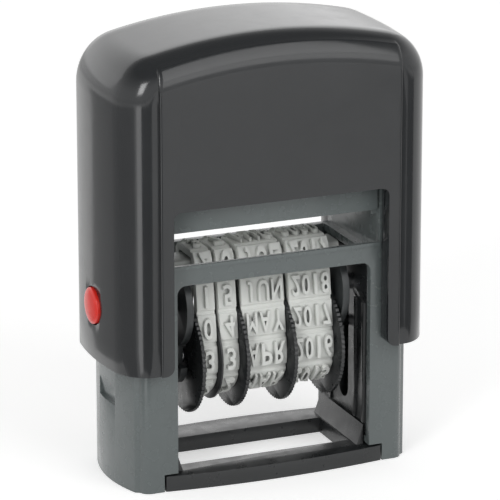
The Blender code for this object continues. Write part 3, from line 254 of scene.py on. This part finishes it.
def arch(half, top, shoulder, bottom=wing_bottom):
    """The arch in front view in millimetres, from the right foot over the crown to the left."""
    side, reach = half - shoulder, cap_crown - shoulder
    lift = math.sqrt(reach * reach - side * side)
    lean = math.atan2(side, lift)
    spring_z = top - cap_crown + lift
    right = [(half, bottom + (spring_z - bottom) * k / foot_steps) for k in range(foot_steps)]
    for k in range(shoulder_steps + 1):
        angle = (math.pi / 2 - lean) * k / shoulder_steps
        right.append((side + shoulder * math.cos(angle), spring_z + shoulder * math.sin(angle)))
    for k in range(1, 2 * shoulder_steps):
        angle = math.pi / 2 - lean + lean * k / (2 * shoulder_steps)
        right.append((cap_crown * math.cos(angle), top - cap_crown + cap_crown * math.sin(angle)))
    return right + [(0, top)] + [(-x, z) for x, z in reversed(right)]


def solid(name, rings):
    """A closed object in millimetres, skinned over rings of points, with flat ends."""
    form = bmesh.new()
    rows = [[form.verts.new(point) for point in ring] for ring in rings]
    for near, far in zip(rows, rows[1:]):
        for k in range(len(near)):
            form.faces.new((near[k - 1], near[k], far[k], far[k - 1]))
    form.faces.new(rows[0])
    form.faces.new(rows[-1][::-1])
    bmesh.ops.recalc_face_normals(form, faces=form.faces)
    mesh = bpy.data.meshes.new(name)
    form.to_mesh(mesh)
    form.free()
    made = bpy.data.objects.new(name, mesh)
    bpy.context.scene.collection.objects.link(made)
    return made


def combine(thing, tool, operation):
    """Joins a tool to a piece or cuts it out, and removes the tool."""
    step = thing.modifiers.new("step", "BOOLEAN")
    step.object, step.operation, step.solver = tool, operation, "EXACT"
    settle(thing)
    bpy.data.objects.remove(tool, do_unlink=True)


def settle(thing):
    """Makes a piece's modifiers part of its mesh."""
    result = thing.evaluated_get(bpy.context.evaluated_depsgraph_get())
    mesh = bpy.data.meshes.new_from_object(result)
    thing.modifiers.clear()
    thing.data = mesh


def moulding(thing, made, body, edge, steps=2, limit=35):
    """Rounds a moulding's sharp edges, smooths the rest, sets its scale, material and body."""
    step = thing.modifiers.new("edge", "BEVEL")
    step.width, step.segments, step.limit_method = edge, steps, "ANGLE"
    step.angle_limit = math.radians(limit)
    step.miter_outer = "MITER_ARC"
    settle(thing)
    mesh = thing.data
    for v in mesh.vertices:
        v.co *= MM
    mesh.shade_smooth()
    mesh.set_sharp_from_angle(angle=math.radians(limit))
    mesh.materials.clear()
    mesh.materials.append(made)
    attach(thing, body)
    return thing


def cap_rings(wall, front_wall, bottom):
    """Sections of the cap from front to rear: edges that roll in, and sides that bow out."""
    deep = cap_depth - front_wall
    stations = []
    for k in range(edge_steps + 1):
        angle = math.pi / 2 * (1 - k / edge_steps)
        y = -deep + edge_depth * (1 - math.sin(angle))
        stations.append((y, edge_inset * (1 - math.cos(angle))))
    front = stations[-1][0]
    stations += [(front * (1 - k / side_steps), 0.0) for k in range(1, side_steps)]
    stations += [(0.0, 0.0)] + [(-y, inset) for y, inset in reversed(stations)]
    rings = []
    for y, inset in stations:
        gone = wall + inset
        half = cap_half - gone - side_bulge * (y / cap_depth) ** 2
        outline = arch(half, cap_top - gone, max(cap_shoulder - gone, least_shoulder), bottom)
        rings.append([(x, y, z) for x, z in outline])
    return rings


def panel_rings():
    """The raised panels as one block through the cap, with a soft slope along each top."""
    stations = list(panel_core)
    for k in range(slope_steps + 1):
        lean = slope_lean * (1 - k / slope_steps)
        y = panel_depth - slope_radius * (1 - math.cos(lean))
        stations.append((y, slope_base + slope_radius * math.sin(lean)))
    rings = []
    for y, top in [(-y, top) for y, top in reversed(stations)] + stations:
        round_off = min(max(0.0, abs(y) - panel_round_start), panel_round)
        half = panel_half + math.sqrt(panel_round ** 2 - round_off ** 2)
        rings.append([(x, y, z) for x, z in arch(half, top, panel_shoulder)])
    return rings


def disc(name, radius, ends, height, sides=64):
    """A round bar along X."""
    turns = [2 * math.pi * k / sides for k in range(sides)]
    ring = [(radius * math.cos(a), height + radius * math.sin(a)) for a in turns]
    return solid(name, [[(x, y, z) for y, z in ring] for x in ends])


def quarter(centre, radius, start, end, steps=6):
    """Points along a quarter of a circle, from one angle in degrees to another."""
    points = []
    for k in range(steps + 1):
        angle = math.radians(start + (end - start) * k / steps)
        points.append((centre[0] + radius * math.cos(angle), centre[1] + radius * math.sin(angle)))
    return points


cap = solid("cap_moulding", cap_rings(0, 0, wing_bottom))
combine(cap, solid("panels", panel_rings()), "UNION")
hollow = solid("hollow", cap_rings(cap_wall, face_wall, wing_bottom - cut_overrun))
combine(cap, hollow, "DIFFERENCE")
window = quarter((window_x, window_z), window_corner, 0, 90)
window += quarter((-window_x, window_z), window_corner, 90, 180)
window += quarter((-wing_x, wing_z), wing_corner, 0, -90)
window += [(-wing_x, window_low), (wing_x, window_low)]
window += quarter((wing_x, wing_z), wing_corner, 270, 180)
window_ends = (-window_reach, window_reach)
window_block = solid("window", [[(x, y, z) for x, z in window] for y in window_ends])
combine(cap, window_block, "DIFFERENCE")
holes = disc("button_holes", hole_radius, (-hole_reach, hole_reach), button_height)
combine(cap, holes, "DIFFERENCE")
pockets = disc("button_pockets", pocket_radius, (-pocket_end, pocket_end), button_height)
combine(cap, pockets, "DIFFERENCE")

cap_abs, tree = new_material("cap_moulded_abs_polished")
place = add_node(tree, "TexCoord")
flow = add_node(tree, "TexNoise", {"Scale": 1 / (9 * MM), "Detail": 2},
                Vector=place.outputs["Object"])
colour = add_node(tree, "MixRGB", {"Color1": linear("#222426"), "Color2": linear("#292b2d")},
                  Fac=flow.outputs["Fac"])
film = add_node(tree, "TexNoise", {"Scale": 1 / (3.5 * MM), "Detail": 6, "Roughness": 0.62},
                Vector=place.outputs["Object"])
gloss = add_node(
    tree, "MapRange", {"From Min": 0.3, "From Max": 0.7, "To Min": 0.10, "To Max": 0.19},
    Value=film.outputs["Fac"])
waves = add_node(tree, "TexNoise", {"Scale": 1 / (1.4 * MM), "Detail": 1},
                 Vector=place.outputs["Object"])
skin = add_node(tree, "Bump", {"Strength": 0.05, "Distance": 0.05 * MM},
                Height=waves.outputs["Fac"])
shader = add_node(tree, "BsdfPrincipled", {"IOR": 1.53}, Base_Color=colour.outputs["Color"],
                  Roughness=gloss.outputs["Result"], Normal=skin.outputs["Normal"])
add_node(tree, "OutputMaterial", Surface=shader.outputs["BSDF"])
moulding(cap, cap_abs, "cap", 0.16)
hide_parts("cap_shell")

# Lock buttons: small moulded ABS knobs in signal red, each with a flange behind the cap's wall.
# The head is crowned and polished, so its red is even, with a soft gloss from the tool.
button_abs, tree = new_material("button_moulded_abs_red")
place = add_node(tree, "TexCoord")
flow = add_node(tree, "TexNoise", {"Scale": 1 / (2.6 * MM), "Detail": 2},
                Vector=place.outputs["Object"])
colour = add_node(tree, "MixRGB", {"Color1": linear("#e4261b"), "Color2": linear("#ee3021")},
                  Fac=flow.outputs["Fac"])
gloss = add_node(tree, "MapRange", {"To Min": 0.18, "To Max": 0.27}, Value=flow.outputs["Fac"])
waves = add_node(tree, "TexNoise", {"Scale": 1 / (0.6 * MM), "Detail": 2},
                 Vector=place.outputs["Object"])
skin = add_node(tree, "Bump", {"Strength": 0.03, "Distance": 0.03 * MM},
                Height=waves.outputs["Fac"])
shader = add_node(tree, "BsdfPrincipled", {"IOR": 1.53}, Base_Color=colour.outputs["Color"],
                  Roughness=gloss.outputs["Result"], Normal=skin.outputs["Normal"])
add_node(tree, "OutputMaterial", Surface=shader.outputs["BSDF"])
button_radius, flange_radius, flange_start, flange_end = 2.84, 3.44, 24.85, 25.25
crown_start, crown_rise, crown_fullness, crown_steps, button_sides = 26.04, 0.56, 0.83, 16, 96
crown_turn = math.radians(88)
for hand, side in (("left", -1), ("right", 1)):
    profile = [
        (flange_start, flange_radius), (flange_end, flange_radius), (flange_end, button_radius)]
    for k in range(crown_steps + 1):
        turn = crown_turn * k / crown_steps
        x = crown_start + crown_rise * math.sin(turn) ** crown_fullness
        profile.append((x, button_radius * math.cos(turn) ** crown_fullness))
    turns = [2 * math.pi * k / button_sides for k in range(button_sides)]
    button = solid("lock_button_" + hand + "_moulding", [
        [(side * x, radius * math.cos(a), button_height + radius * math.sin(a)) for a in turns]
        for x, radius in profile
    ])
    moulding(button, button_abs, "lock_" + hand, 0.06)
    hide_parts("lock_button_" + hand)

# Frame and pad cassette: grey ABS moulded against a spark-eroded tool.
# The fine texture, about 0.2 mm from peak to peak, spreads the light to a soft satin.


def soften(node_name, body, made, edge, steps=2, limit=30):
    """The moulded piece over a CAD one: its faces joined, edges rounded and curves smooth."""
    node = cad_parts[node_name]
    form = bmesh.new()
    form.from_mesh(node.data)
    form.transform(node.matrix_world)
    bmesh.ops.scale(form, vec=(1 / MM, 1 / MM, 1 / MM), verts=form.verts)
    bmesh.ops.remove_doubles(form, verts=form.verts, dist=0.002)
    mesh = bpy.data.meshes.new(node_name + "_moulding")
    form.to_mesh(mesh)
    form.free()
    thing = bpy.data.objects.new(node_name + "_moulding", mesh)
    bpy.context.scene.collection.objects.link(thing)
    moulding(thing, made, body, edge, steps, limit)
    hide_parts(node_name)
    return thing


frame_abs, tree = new_material("frame_moulded_abs_satin")
place = add_node(tree, "TexCoord")
flow = add_node(tree, "TexNoise", {"Scale": 1 / (7 * MM), "Detail": 3},
                Vector=place.outputs["Object"])
colour = add_node(tree, "MixRGB", {"Color1": linear("#5e6565"), "Color2": linear("#666d6d")},
                  Fac=flow.outputs["Fac"])
film = add_node(tree, "TexNoise", {"Scale": 1 / (2.5 * MM), "Detail": 5},
                Vector=place.outputs["Object"])
gloss = add_node(
    tree, "MapRange", {"From Min": 0.3, "From Max": 0.7, "To Min": 0.22, "To Max": 0.3},
    Value=film.outputs["Fac"])
spark = add_node(tree, "TexNoise", {"Scale": 1 / (0.22 * MM), "Detail": 2},
                 Vector=place.outputs["Object"])
skin = add_node(tree, "Bump", {"Strength": 0.1, "Distance": 0.02 * MM}, Height=spark.outputs["Fac"])
shader = add_node(tree, "BsdfPrincipled", {"IOR": 1.53}, Base_Color=colour.outputs["Color"],
                  Roughness=gloss.outputs["Result"], Normal=skin.outputs["Normal"])
add_node(tree, "OutputMaterial", Surface=shader.outputs["BSDF"])
soften("base_frame", "base", frame_abs, 0.16, 3)
soften("pad_cassette", "pad", frame_abs, 0.12)

# Carriers: the unit's two end plates, dark grey ABS of the frame's family, with a satin skin.
# Their half-round ends show at the left, a little lighter than the wheels behind them.
carrier_abs, tree = new_material("carrier_moulded_abs_satin")
place = add_node(tree, "TexCoord")
flow = add_node(tree, "TexNoise", {"Scale": 1 / (5 * MM), "Detail": 3},
                Vector=place.outputs["Object"])
colour = add_node(tree, "MixRGB", {"Color1": linear("#323536"), "Color2": linear("#3c4041")},
                  Fac=flow.outputs["Fac"])
gloss = add_node(tree, "MapRange", {"To Min": 0.34, "To Max": 0.46}, Value=flow.outputs["Fac"])
spark = add_node(tree, "TexNoise", {"Scale": 1 / (0.25 * MM), "Detail": 2},
                 Vector=place.outputs["Object"])
skin = add_node(tree, "Bump", {"Strength": 0.18, "Distance": 0.03 * MM},
                Height=spark.outputs["Fac"])
shader = add_node(tree, "BsdfPrincipled", {"IOR": 1.53}, Base_Color=colour.outputs["Color"],
                  Roughness=gloss.outputs["Result"], Normal=skin.outputs["Normal"])
add_node(tree, "OutputMaterial", Surface=shader.outputs["BSDF"])
for hand in ("left", "right"):
    soften("carrier_plate_" + hand, "print_unit", carrier_abs, 0.1)

# Foot, yoke, guide plates and thumb wheels: black ABS, moulded with a semi-gloss skin.
# The wheels' rims and the foot's bars pick up a dusty film from handling.
black_abs, tree = new_material("black_moulded_abs")
place = add_node(tree, "TexCoord")
flow = add_node(tree, "TexNoise", {"Scale": 1 / (4 * MM), "Detail": 3},
                Vector=place.outputs["Object"])
colour = add_node(tree, "MixRGB", {"Color1": linear("#1d1f20"), "Color2": linear("#262829")},
                  Fac=flow.outputs["Fac"])
film = add_node(tree, "TexNoise", {"Scale": 1 / (1.8 * MM), "Detail": 6},
                Vector=place.outputs["Object"])
gloss = add_node(
    tree, "MapRange", {"From Min": 0.3, "From Max": 0.7, "To Min": 0.24, "To Max": 0.38},
    Value=film.outputs["Fac"])
spark = add_node(tree, "TexNoise", {"Scale": 1 / (0.3 * MM), "Detail": 2},
                 Vector=place.outputs["Object"])
skin = add_node(tree, "Bump", {"Strength": 0.12, "Distance": 0.03 * MM},
                Height=spark.outputs["Fac"])
shader = add_node(tree, "BsdfPrincipled", {"IOR": 1.53}, Base_Color=colour.outputs["Color"],
                  Roughness=gloss.outputs["Result"], Normal=skin.outputs["Normal"])
add_node(tree, "OutputMaterial", Surface=shader.outputs["BSDF"])
dials = ("day_tens", "day_units", "month", "year")
soften("foot_frame", "base", black_abs, 0.18, 3)
soften("press_yoke", "cap", black_abs, 0.15)
for hand in ("left", "right"):
    soften("guide_plate_" + hand, "base", black_abs, 0.08)
for dial in dials:
    soften(dial + "_wheel", dial + "_dial", black_abs, 0.05, 1)

# Axle, pins, studs and return spring: bright carbon steel, turned or drawn.
# Fine rings from the tool run round each pin, about 0.15 mm apart.
turned_steel, tree = new_material("steel_bright_turned")
place = add_node(tree, "TexCoord")
rings = add_node(
    tree, "TexWave", {"bands_direction": "X", "Scale": 1 / (0.3 * MM), "Distortion": 1.5},
    Vector=place.outputs["Object"])
colour = add_node(tree, "MixRGB", {"Color1": linear("#a9abad"), "Color2": linear("#bfc1c3")},
                  Fac=rings.outputs["Fac"])
gloss = add_node(tree, "MapRange", {"To Min": 0.22, "To Max": 0.36}, Value=rings.outputs["Fac"])
skin = add_node(tree, "Bump", {"Strength": 0.15, "Distance": 0.01 * MM},
                Height=rings.outputs["Fac"])
shader = add_node(tree, "BsdfPrincipled", {"Metallic": 1.0}, Base_Color=colour.outputs["Color"],
                  Roughness=gloss.outputs["Result"], Normal=skin.outputs["Normal"])
add_node(tree, "OutputMaterial", Surface=shader.outputs["BSDF"])
spring = soften("return_spring", "base", turned_steel, 0.04, 1, 50)
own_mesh(spring)
soften("wheel_axle", "print_unit", turned_steel, 0.1)
for hand in ("left", "right"):
    soften("pivot_pin_" + hand, "print_unit", turned_steel, 0.12)
    soften("flip_stud_" + hand, "print_unit", turned_steel, 0.1)

# Print bar: natural acetal, moulded, milky grey and slightly waxy.
# It backs the bands where they print.
bar_acetal, tree = new_material("print_bar_acetal")
place = add_node(tree, "TexCoord")
flow = add_node(tree, "TexNoise", {"Scale": 1 / (2 * MM), "Detail": 3},
                Vector=place.outputs["Object"])
colour = add_node(tree, "MixRGB", {"Color1": linear("#a9aba8"), "Color2": linear("#b6b8b5")},
                  Fac=flow.outputs["Fac"])
gloss = add_node(tree, "MapRange", {"To Min": 0.38, "To Max": 0.5}, Value=flow.outputs["Fac"])
shader = add_node(tree, "BsdfPrincipled", {"IOR": 1.48}, Base_Color=colour.outputs["Color"],
                  Roughness=gloss.outputs["Result"])
add_node(tree, "OutputMaterial", Surface=shader.outputs["BSDF"])
soften("print_bar", "print_unit", bar_acetal, 0.2, 3)

# Ink pad: a block die cut from pressed wool felt, seated in the cassette and not inked yet.
# Its face is a little crowned, its cut sides are rough, and loose wool fibres lie over it.
pad_low, pad_high = (Vector(corner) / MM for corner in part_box("pad_felt"))
pad_centre, pad_half = (pad_low + pad_high) / 2, (pad_high - pad_low) / 2
chance = random.Random(4)
felt_inset, felt_crown, felt_side, felt_round = 0.13, 0.16, 0.03, 0.5
lump_pace, lump_rise = 0.55, 0.05
nap_pace, nap_rise = 2.6, 0.035
fuzz_pace, fuzz_rise = 7.0, 0.018
felt_cells = (110, 40, 10)
fibre_count, fibre_steps, fibre_radius, fibre_lift = 260, 6, 0.016, 0.04
fibre_corners = (0.5, 2.6, 4.7)


def felt_surface(way, spot):
    """How far the felt lies inside its block at a spot, in mm: crown, lumps and fibre ends."""
    lumps = noise.noise(spot * lump_pace) * lump_rise
    nap = noise.noise(spot * nap_pace) * nap_rise + noise.noise(spot * fuzz_pace) * fuzz_rise
    edge = max(abs(spot.x) / pad_half.x, abs(spot.y) / pad_half.y) ** 6
    return felt_inset - lumps - nap + (felt_crown * edge if abs(way.z) > 0.5 else felt_side)


form = bmesh.new()
bmesh.ops.create_cube(form, size=2)
for axis, cells in enumerate(felt_cells):
    for k in range(1, cells):
        level = Vector()
        level[axis] = 2 * k / cells - 1
        across = Vector()
        across[axis] = 1
        parts = form.verts[:] + form.edges[:] + form.faces[:]
        bmesh.ops.bisect_plane(form, geom=parts, plane_co=level, plane_no=across)
for v in form.verts:
    spot = Vector(v.co[k] * pad_half[k] for k in range(3))
    core = Vector(
        max(-h + felt_round, min(h - felt_round, c)) for c, h in zip(spot, pad_half))
    outward = (spot - core).length
    way = (spot - core).normalized()
    round_spot = core + way * min(outward, felt_round) if outward > 0 else spot
    v.co = pad_centre + round_spot - way * felt_surface(way, round_spot)
mesh = bpy.data.meshes.new("ink_pad_felt")
form.to_mesh(mesh)


def add_fibre(form, root, heading, length, radius):
    """A loose wool fibre: a thin three-sided strand that wanders over the face."""
    spot, rows = root.copy(), []
    for k in range(fibre_steps + 1):
        heading += chance.uniform(-0.5, 0.5)
        along = Vector((math.cos(heading), math.sin(heading), 0))
        side = Vector((-along.y, along.x, 0))
        lift = Vector((0, 0, -fibre_lift * math.sin(math.pi * k / fibre_steps)))
        rows.append([
            form.verts.new(spot + lift + side * radius * math.cos(a)
                           + Vector((0, 0, radius * math.sin(a))))
            for a in fibre_corners
        ])
        spot += along * length / fibre_steps
    for near, far in zip(rows, rows[1:]):
        for k in range(3):
            form.faces.new((near[k - 1], near[k], far[k], far[k - 1]))
    form.faces.new(rows[0])
    form.faces.new(rows[-1][::-1])


for _ in range(fibre_count):
    root = Vector((
        chance.uniform(-0.93, 0.93) * pad_half.x,
        chance.uniform(-0.88, 0.88) * pad_half.y,
        -pad_half.z,
    ))
    root.z += felt_surface(Vector((0, 0, -1)), root) - 0.02
    heading, length = chance.uniform(0, 6.3), chance.uniform(0.5, 1.3)
    add_fibre(form, pad_centre + root, heading, length, fibre_radius)
bmesh.ops.recalc_face_normals(form, faces=form.faces)
bmesh.ops.scale(form, vec=(MM, MM, MM), verts=form.verts)
form.to_mesh(mesh)
form.free()
mesh.shade_smooth()
felt = bpy.data.objects.new("ink_pad_felt", mesh)
bpy.context.scene.collection.objects.link(felt)

wool_felt, tree = new_material("ink_pad_wool_felt")
place = add_node(tree, "TexCoord")
fibres = add_node(tree, "TexNoise", {"Scale": 1 / (0.12 * MM), "Detail": 6, "Distortion": 1.2},
                  Vector=place.outputs["Object"])
colour = add_node(tree, "MixRGB", {"Color1": linear("#d9d9d5"), "Color2": linear("#efefec")},
                  Fac=fibres.outputs["Fac"])
skin = add_node(tree, "Bump", {"Strength": 0.5, "Distance": 0.08 * MM},
                Height=fibres.outputs["Fac"])
shader = add_node(tree, "BsdfPrincipled", {"Roughness": 0.95, "Sheen Weight": 0.3},
                  Base_Color=colour.outputs["Color"], Normal=skin.outputs["Normal"])
add_node(tree, "OutputMaterial", Surface=shader.outputs["BSDF"])
mesh.materials.append(wool_felt)
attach(felt, "pad")
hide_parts("pad_felt")

# Bands: light grey vulcanised rubber loops, pressed in a mould with a raised tile for each row.
# The skin is matte with a fine grain. Painted shade from an occlusion mask darkens its creases and
# the feet of the characters.
band_rubber, tree = new_material("band_vulcanised_rubber")
place = add_node(tree, "TexCoord")
flow = add_node(tree, "TexNoise", {"Scale": 1 / (2.2 * MM), "Detail": 4},
                Vector=place.outputs["Object"])
unshaded_rubber = add_node(tree, "MixRGB", {"Color1": linear("#dfe1dd"), "Color2": linear("#eaece8")},
                 Fac=flow.outputs["Fac"])
# Painted shade: the occlusion mask darkens the rubber towards #939592 in creases and round the
# characters' feet.
crease = add_node(tree, "AmbientOcclusion", {"Distance": 0.7 * MM, "samples": 8})
painted_crease_shade = add_node(tree, "MapRange", {"From Min": 0.35, "From Max": 0.8}, Value=crease.outputs["AO"])
colour = add_node(tree, "MixRGB", {"Color1": linear("#939592")}, Fac=painted_crease_shade.outputs["Result"],
                  Color2=unshaded_rubber.outputs["Color"])
grain = add_node(tree, "TexNoise", {"Scale": 1 / (0.15 * MM), "Detail": 4},
                 Vector=place.outputs["Object"])
gloss = add_node(tree, "MapRange", {"To Min": 0.5, "To Max": 0.72}, Value=grain.outputs["Fac"])
skin = add_node(tree, "Bump", {"Strength": 0.25, "Distance": 0.03 * MM},
                Height=grain.outputs["Fac"])
shader = add_node(tree, "BsdfPrincipled", {"IOR": 1.52}, Base_Color=colour.outputs["Color"],
                  Roughness=gloss.outputs["Result"], Normal=skin.outputs["Normal"])
add_node(tree, "OutputMaterial", Surface=shader.outputs["BSDF"])
for dial in dials:
    soften(dial + "_band", "print_unit", band_rubber, 0.08)

# Characters: raised with the band in one moulding, one row on each tile, mirrored for printing.
# They are tall and narrow, about 3.45 mm high, and stand 0.6 mm proud.
face_top = 35.6
tile_rise = 0.3
top_half = 3.5
top_corner = 1.0
wheel_height = 18.225
wheel_radius = 5.9
rows = 12
character_height = 3.45
character_rise = 0.6
character_root = 0.15
character_cuts = 6
half_thick = 0.5
stroke_gain = 0.018
cell_fill, narrow_share, draft_share = 0.84, 0.8, 0.06
single_share, word_share = 0.66, 0.93


def loop_pieces():
    """Half of the band's way: along the face, round its edge, down and under the wheel."""
    top = face_top - tile_rise
    corner_centre = Vector((-(top_half - top_corner), top - top_corner))
    wheel_centre = Vector((0, wheel_height))
    span = wheel_centre - corner_centre
    lean = math.asin((wheel_radius - top_corner) / span.length) - math.atan2(span[0], -span[1])
    run = math.sqrt(span.length_squared - (wheel_radius - top_corner) ** 2)

    def on_face(s):
        return Vector((-s, top)), Vector((0, 1))

    def on_corner(s):
        angle = math.pi / 2 + s / top_corner
        out = Vector((math.cos(angle), math.sin(angle)))
        return corner_centre + out * top_corner, out

    def on_run(s):
        out = Vector((-math.cos(lean), math.sin(lean)))
        along = Vector((-math.sin(lean), -math.cos(lean)))
        return corner_centre + out * top_corner + along * s, out

    def on_wheel(s):
        angle = math.pi - lean + s / wheel_radius
        out = Vector((math.cos(angle), math.sin(angle)))
        return wheel_centre + out * wheel_radius, out

    return [
        (top_half - top_corner, on_face), (top_corner * (math.pi / 2 - lean), on_corner),
        (run, on_run), (wheel_radius * (math.pi / 2 + lean), on_wheel),
    ]


band_way = loop_pieces()
half_way = sum(length for length, _ in band_way)
row_pitch = 2 * half_way / rows


def on_band(s, rise):
    """A place on the loop, from the middle of the print face; past half way it is mirrored."""
    s %= 2 * half_way
    rear = s > half_way
    left = 2 * half_way - s if rear else s
    for length, place_at in band_way:
        if left <= length:
            break
        left -= length
    spot, out = place_at(min(left, length))
    spot = spot + out * rise
    return (-spot[0] if rear else spot[0], spot[1])


def cut_character(letter):
    """A character's mesh in millimetres, cut across at steps so that it bends with the band."""
    text = bpy.data.curves.new("character_" + letter, "FONT")
    text.body = letter
    text.align_x = "CENTER"
    text.size = 1.0
    text.offset = stroke_gain
    text.extrude = half_thick
    text.resolution_u = 3
    guide = bpy.data.objects.new("character_guide", text)
    bpy.context.scene.collection.objects.link(guide)
    bpy.context.view_layer.update()
    result = guide.evaluated_get(bpy.context.evaluated_depsgraph_get())
    mesh = bpy.data.meshes.new_from_object(result)
    bpy.data.objects.remove(guide, do_unlink=True)
    form = bmesh.new()
    form.from_mesh(mesh)
    bpy.data.meshes.remove(mesh)
    bmesh.ops.remove_doubles(form, verts=form.verts, dist=0.0005)
    xs = [v.co.x for v in form.verts]
    ys = [v.co.y for v in form.verts]
    width, tall = max(xs) - min(xs), max(ys) - min(ys)
    for v in form.verts:
        v.co.x = (v.co.x - (max(xs) + min(xs)) / 2) / width
        v.co.y = ((v.co.y - (max(ys) + min(ys)) / 2) / tall) * character_height
        v.co.z = v.co.z + half_thick
    for k in range(1, character_cuts):
        level = character_height * (k / character_cuts - 0.5)
        parts = form.verts[:] + form.edges[:] + form.faces[:]
        bmesh.ops.bisect_plane(form, geom=parts, plane_co=(0, level, 0), plane_no=(0, 1, 0))
    return form, width / tall


characters = {}


def add_characters(name, left, right, texts, cell_share):
    """All rows of one band's characters as one mesh."""
    whole = bmesh.new()
    for row, text in enumerate(texts):
        if not text:
            continue
        cell = (right - left) * cell_share / len(text)
        first = (left + right) / 2 - cell * (len(text) - 1) / 2
        for place_in_row, letter in enumerate(text):
            if letter not in characters:
                characters[letter] = cut_character(letter)
            form, natural = characters[letter]
            wide = min(cell * cell_fill, natural * character_height * narrow_share)
            centre = first + cell * place_in_row
            made = {}
            for v in form.verts:
                rise = tile_rise - character_root + v.co.z * (character_rise + character_root)
                draft = 1.0 - draft_share * v.co.z
                y, z = on_band(row * row_pitch + v.co.y * draft, rise)
                made[v] = whole.verts.new(((centre + v.co.x * wide * draft) * MM, y * MM, z * MM))
            for face in form.faces:
                whole.faces.new([made[v] for v in face.verts])
    bmesh.ops.recalc_face_normals(whole, faces=whole.faces)
    mesh = bpy.data.meshes.new(name)
    whole.to_mesh(mesh)
    whole.free()
    mesh.materials.append(band_rubber)
    made = bpy.data.objects.new(name, mesh)
    bpy.context.scene.collection.objects.link(made)
    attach(made, "print_unit")
    return made


months = ("JAN", "FEB", "MAR", "APR", "MAY", "JUN", "JUL", "AUG", "SEP", "OCT", "NOV", "DEC")
unit_digits = ("7", "6", "5", "4", "3", "2", "1", "0", "", "", "9", "8")
row_texts = {
    "day_tens": [str((3 - row) % 4) for row in range(rows)],
    "day_units": list(unit_digits),
    "month": [months[(7 - row) % 12] for row in range(rows)],
    "year": [str(2020 - row) for row in range(rows)],
}
for dial in dials:
    low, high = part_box(dial + "_band")
    cell_share = single_share if len(row_texts[dial][0]) == 1 else word_share
    add_characters(dial + "_characters", low.x / MM, high.x / MM, row_texts[dial], cell_share)
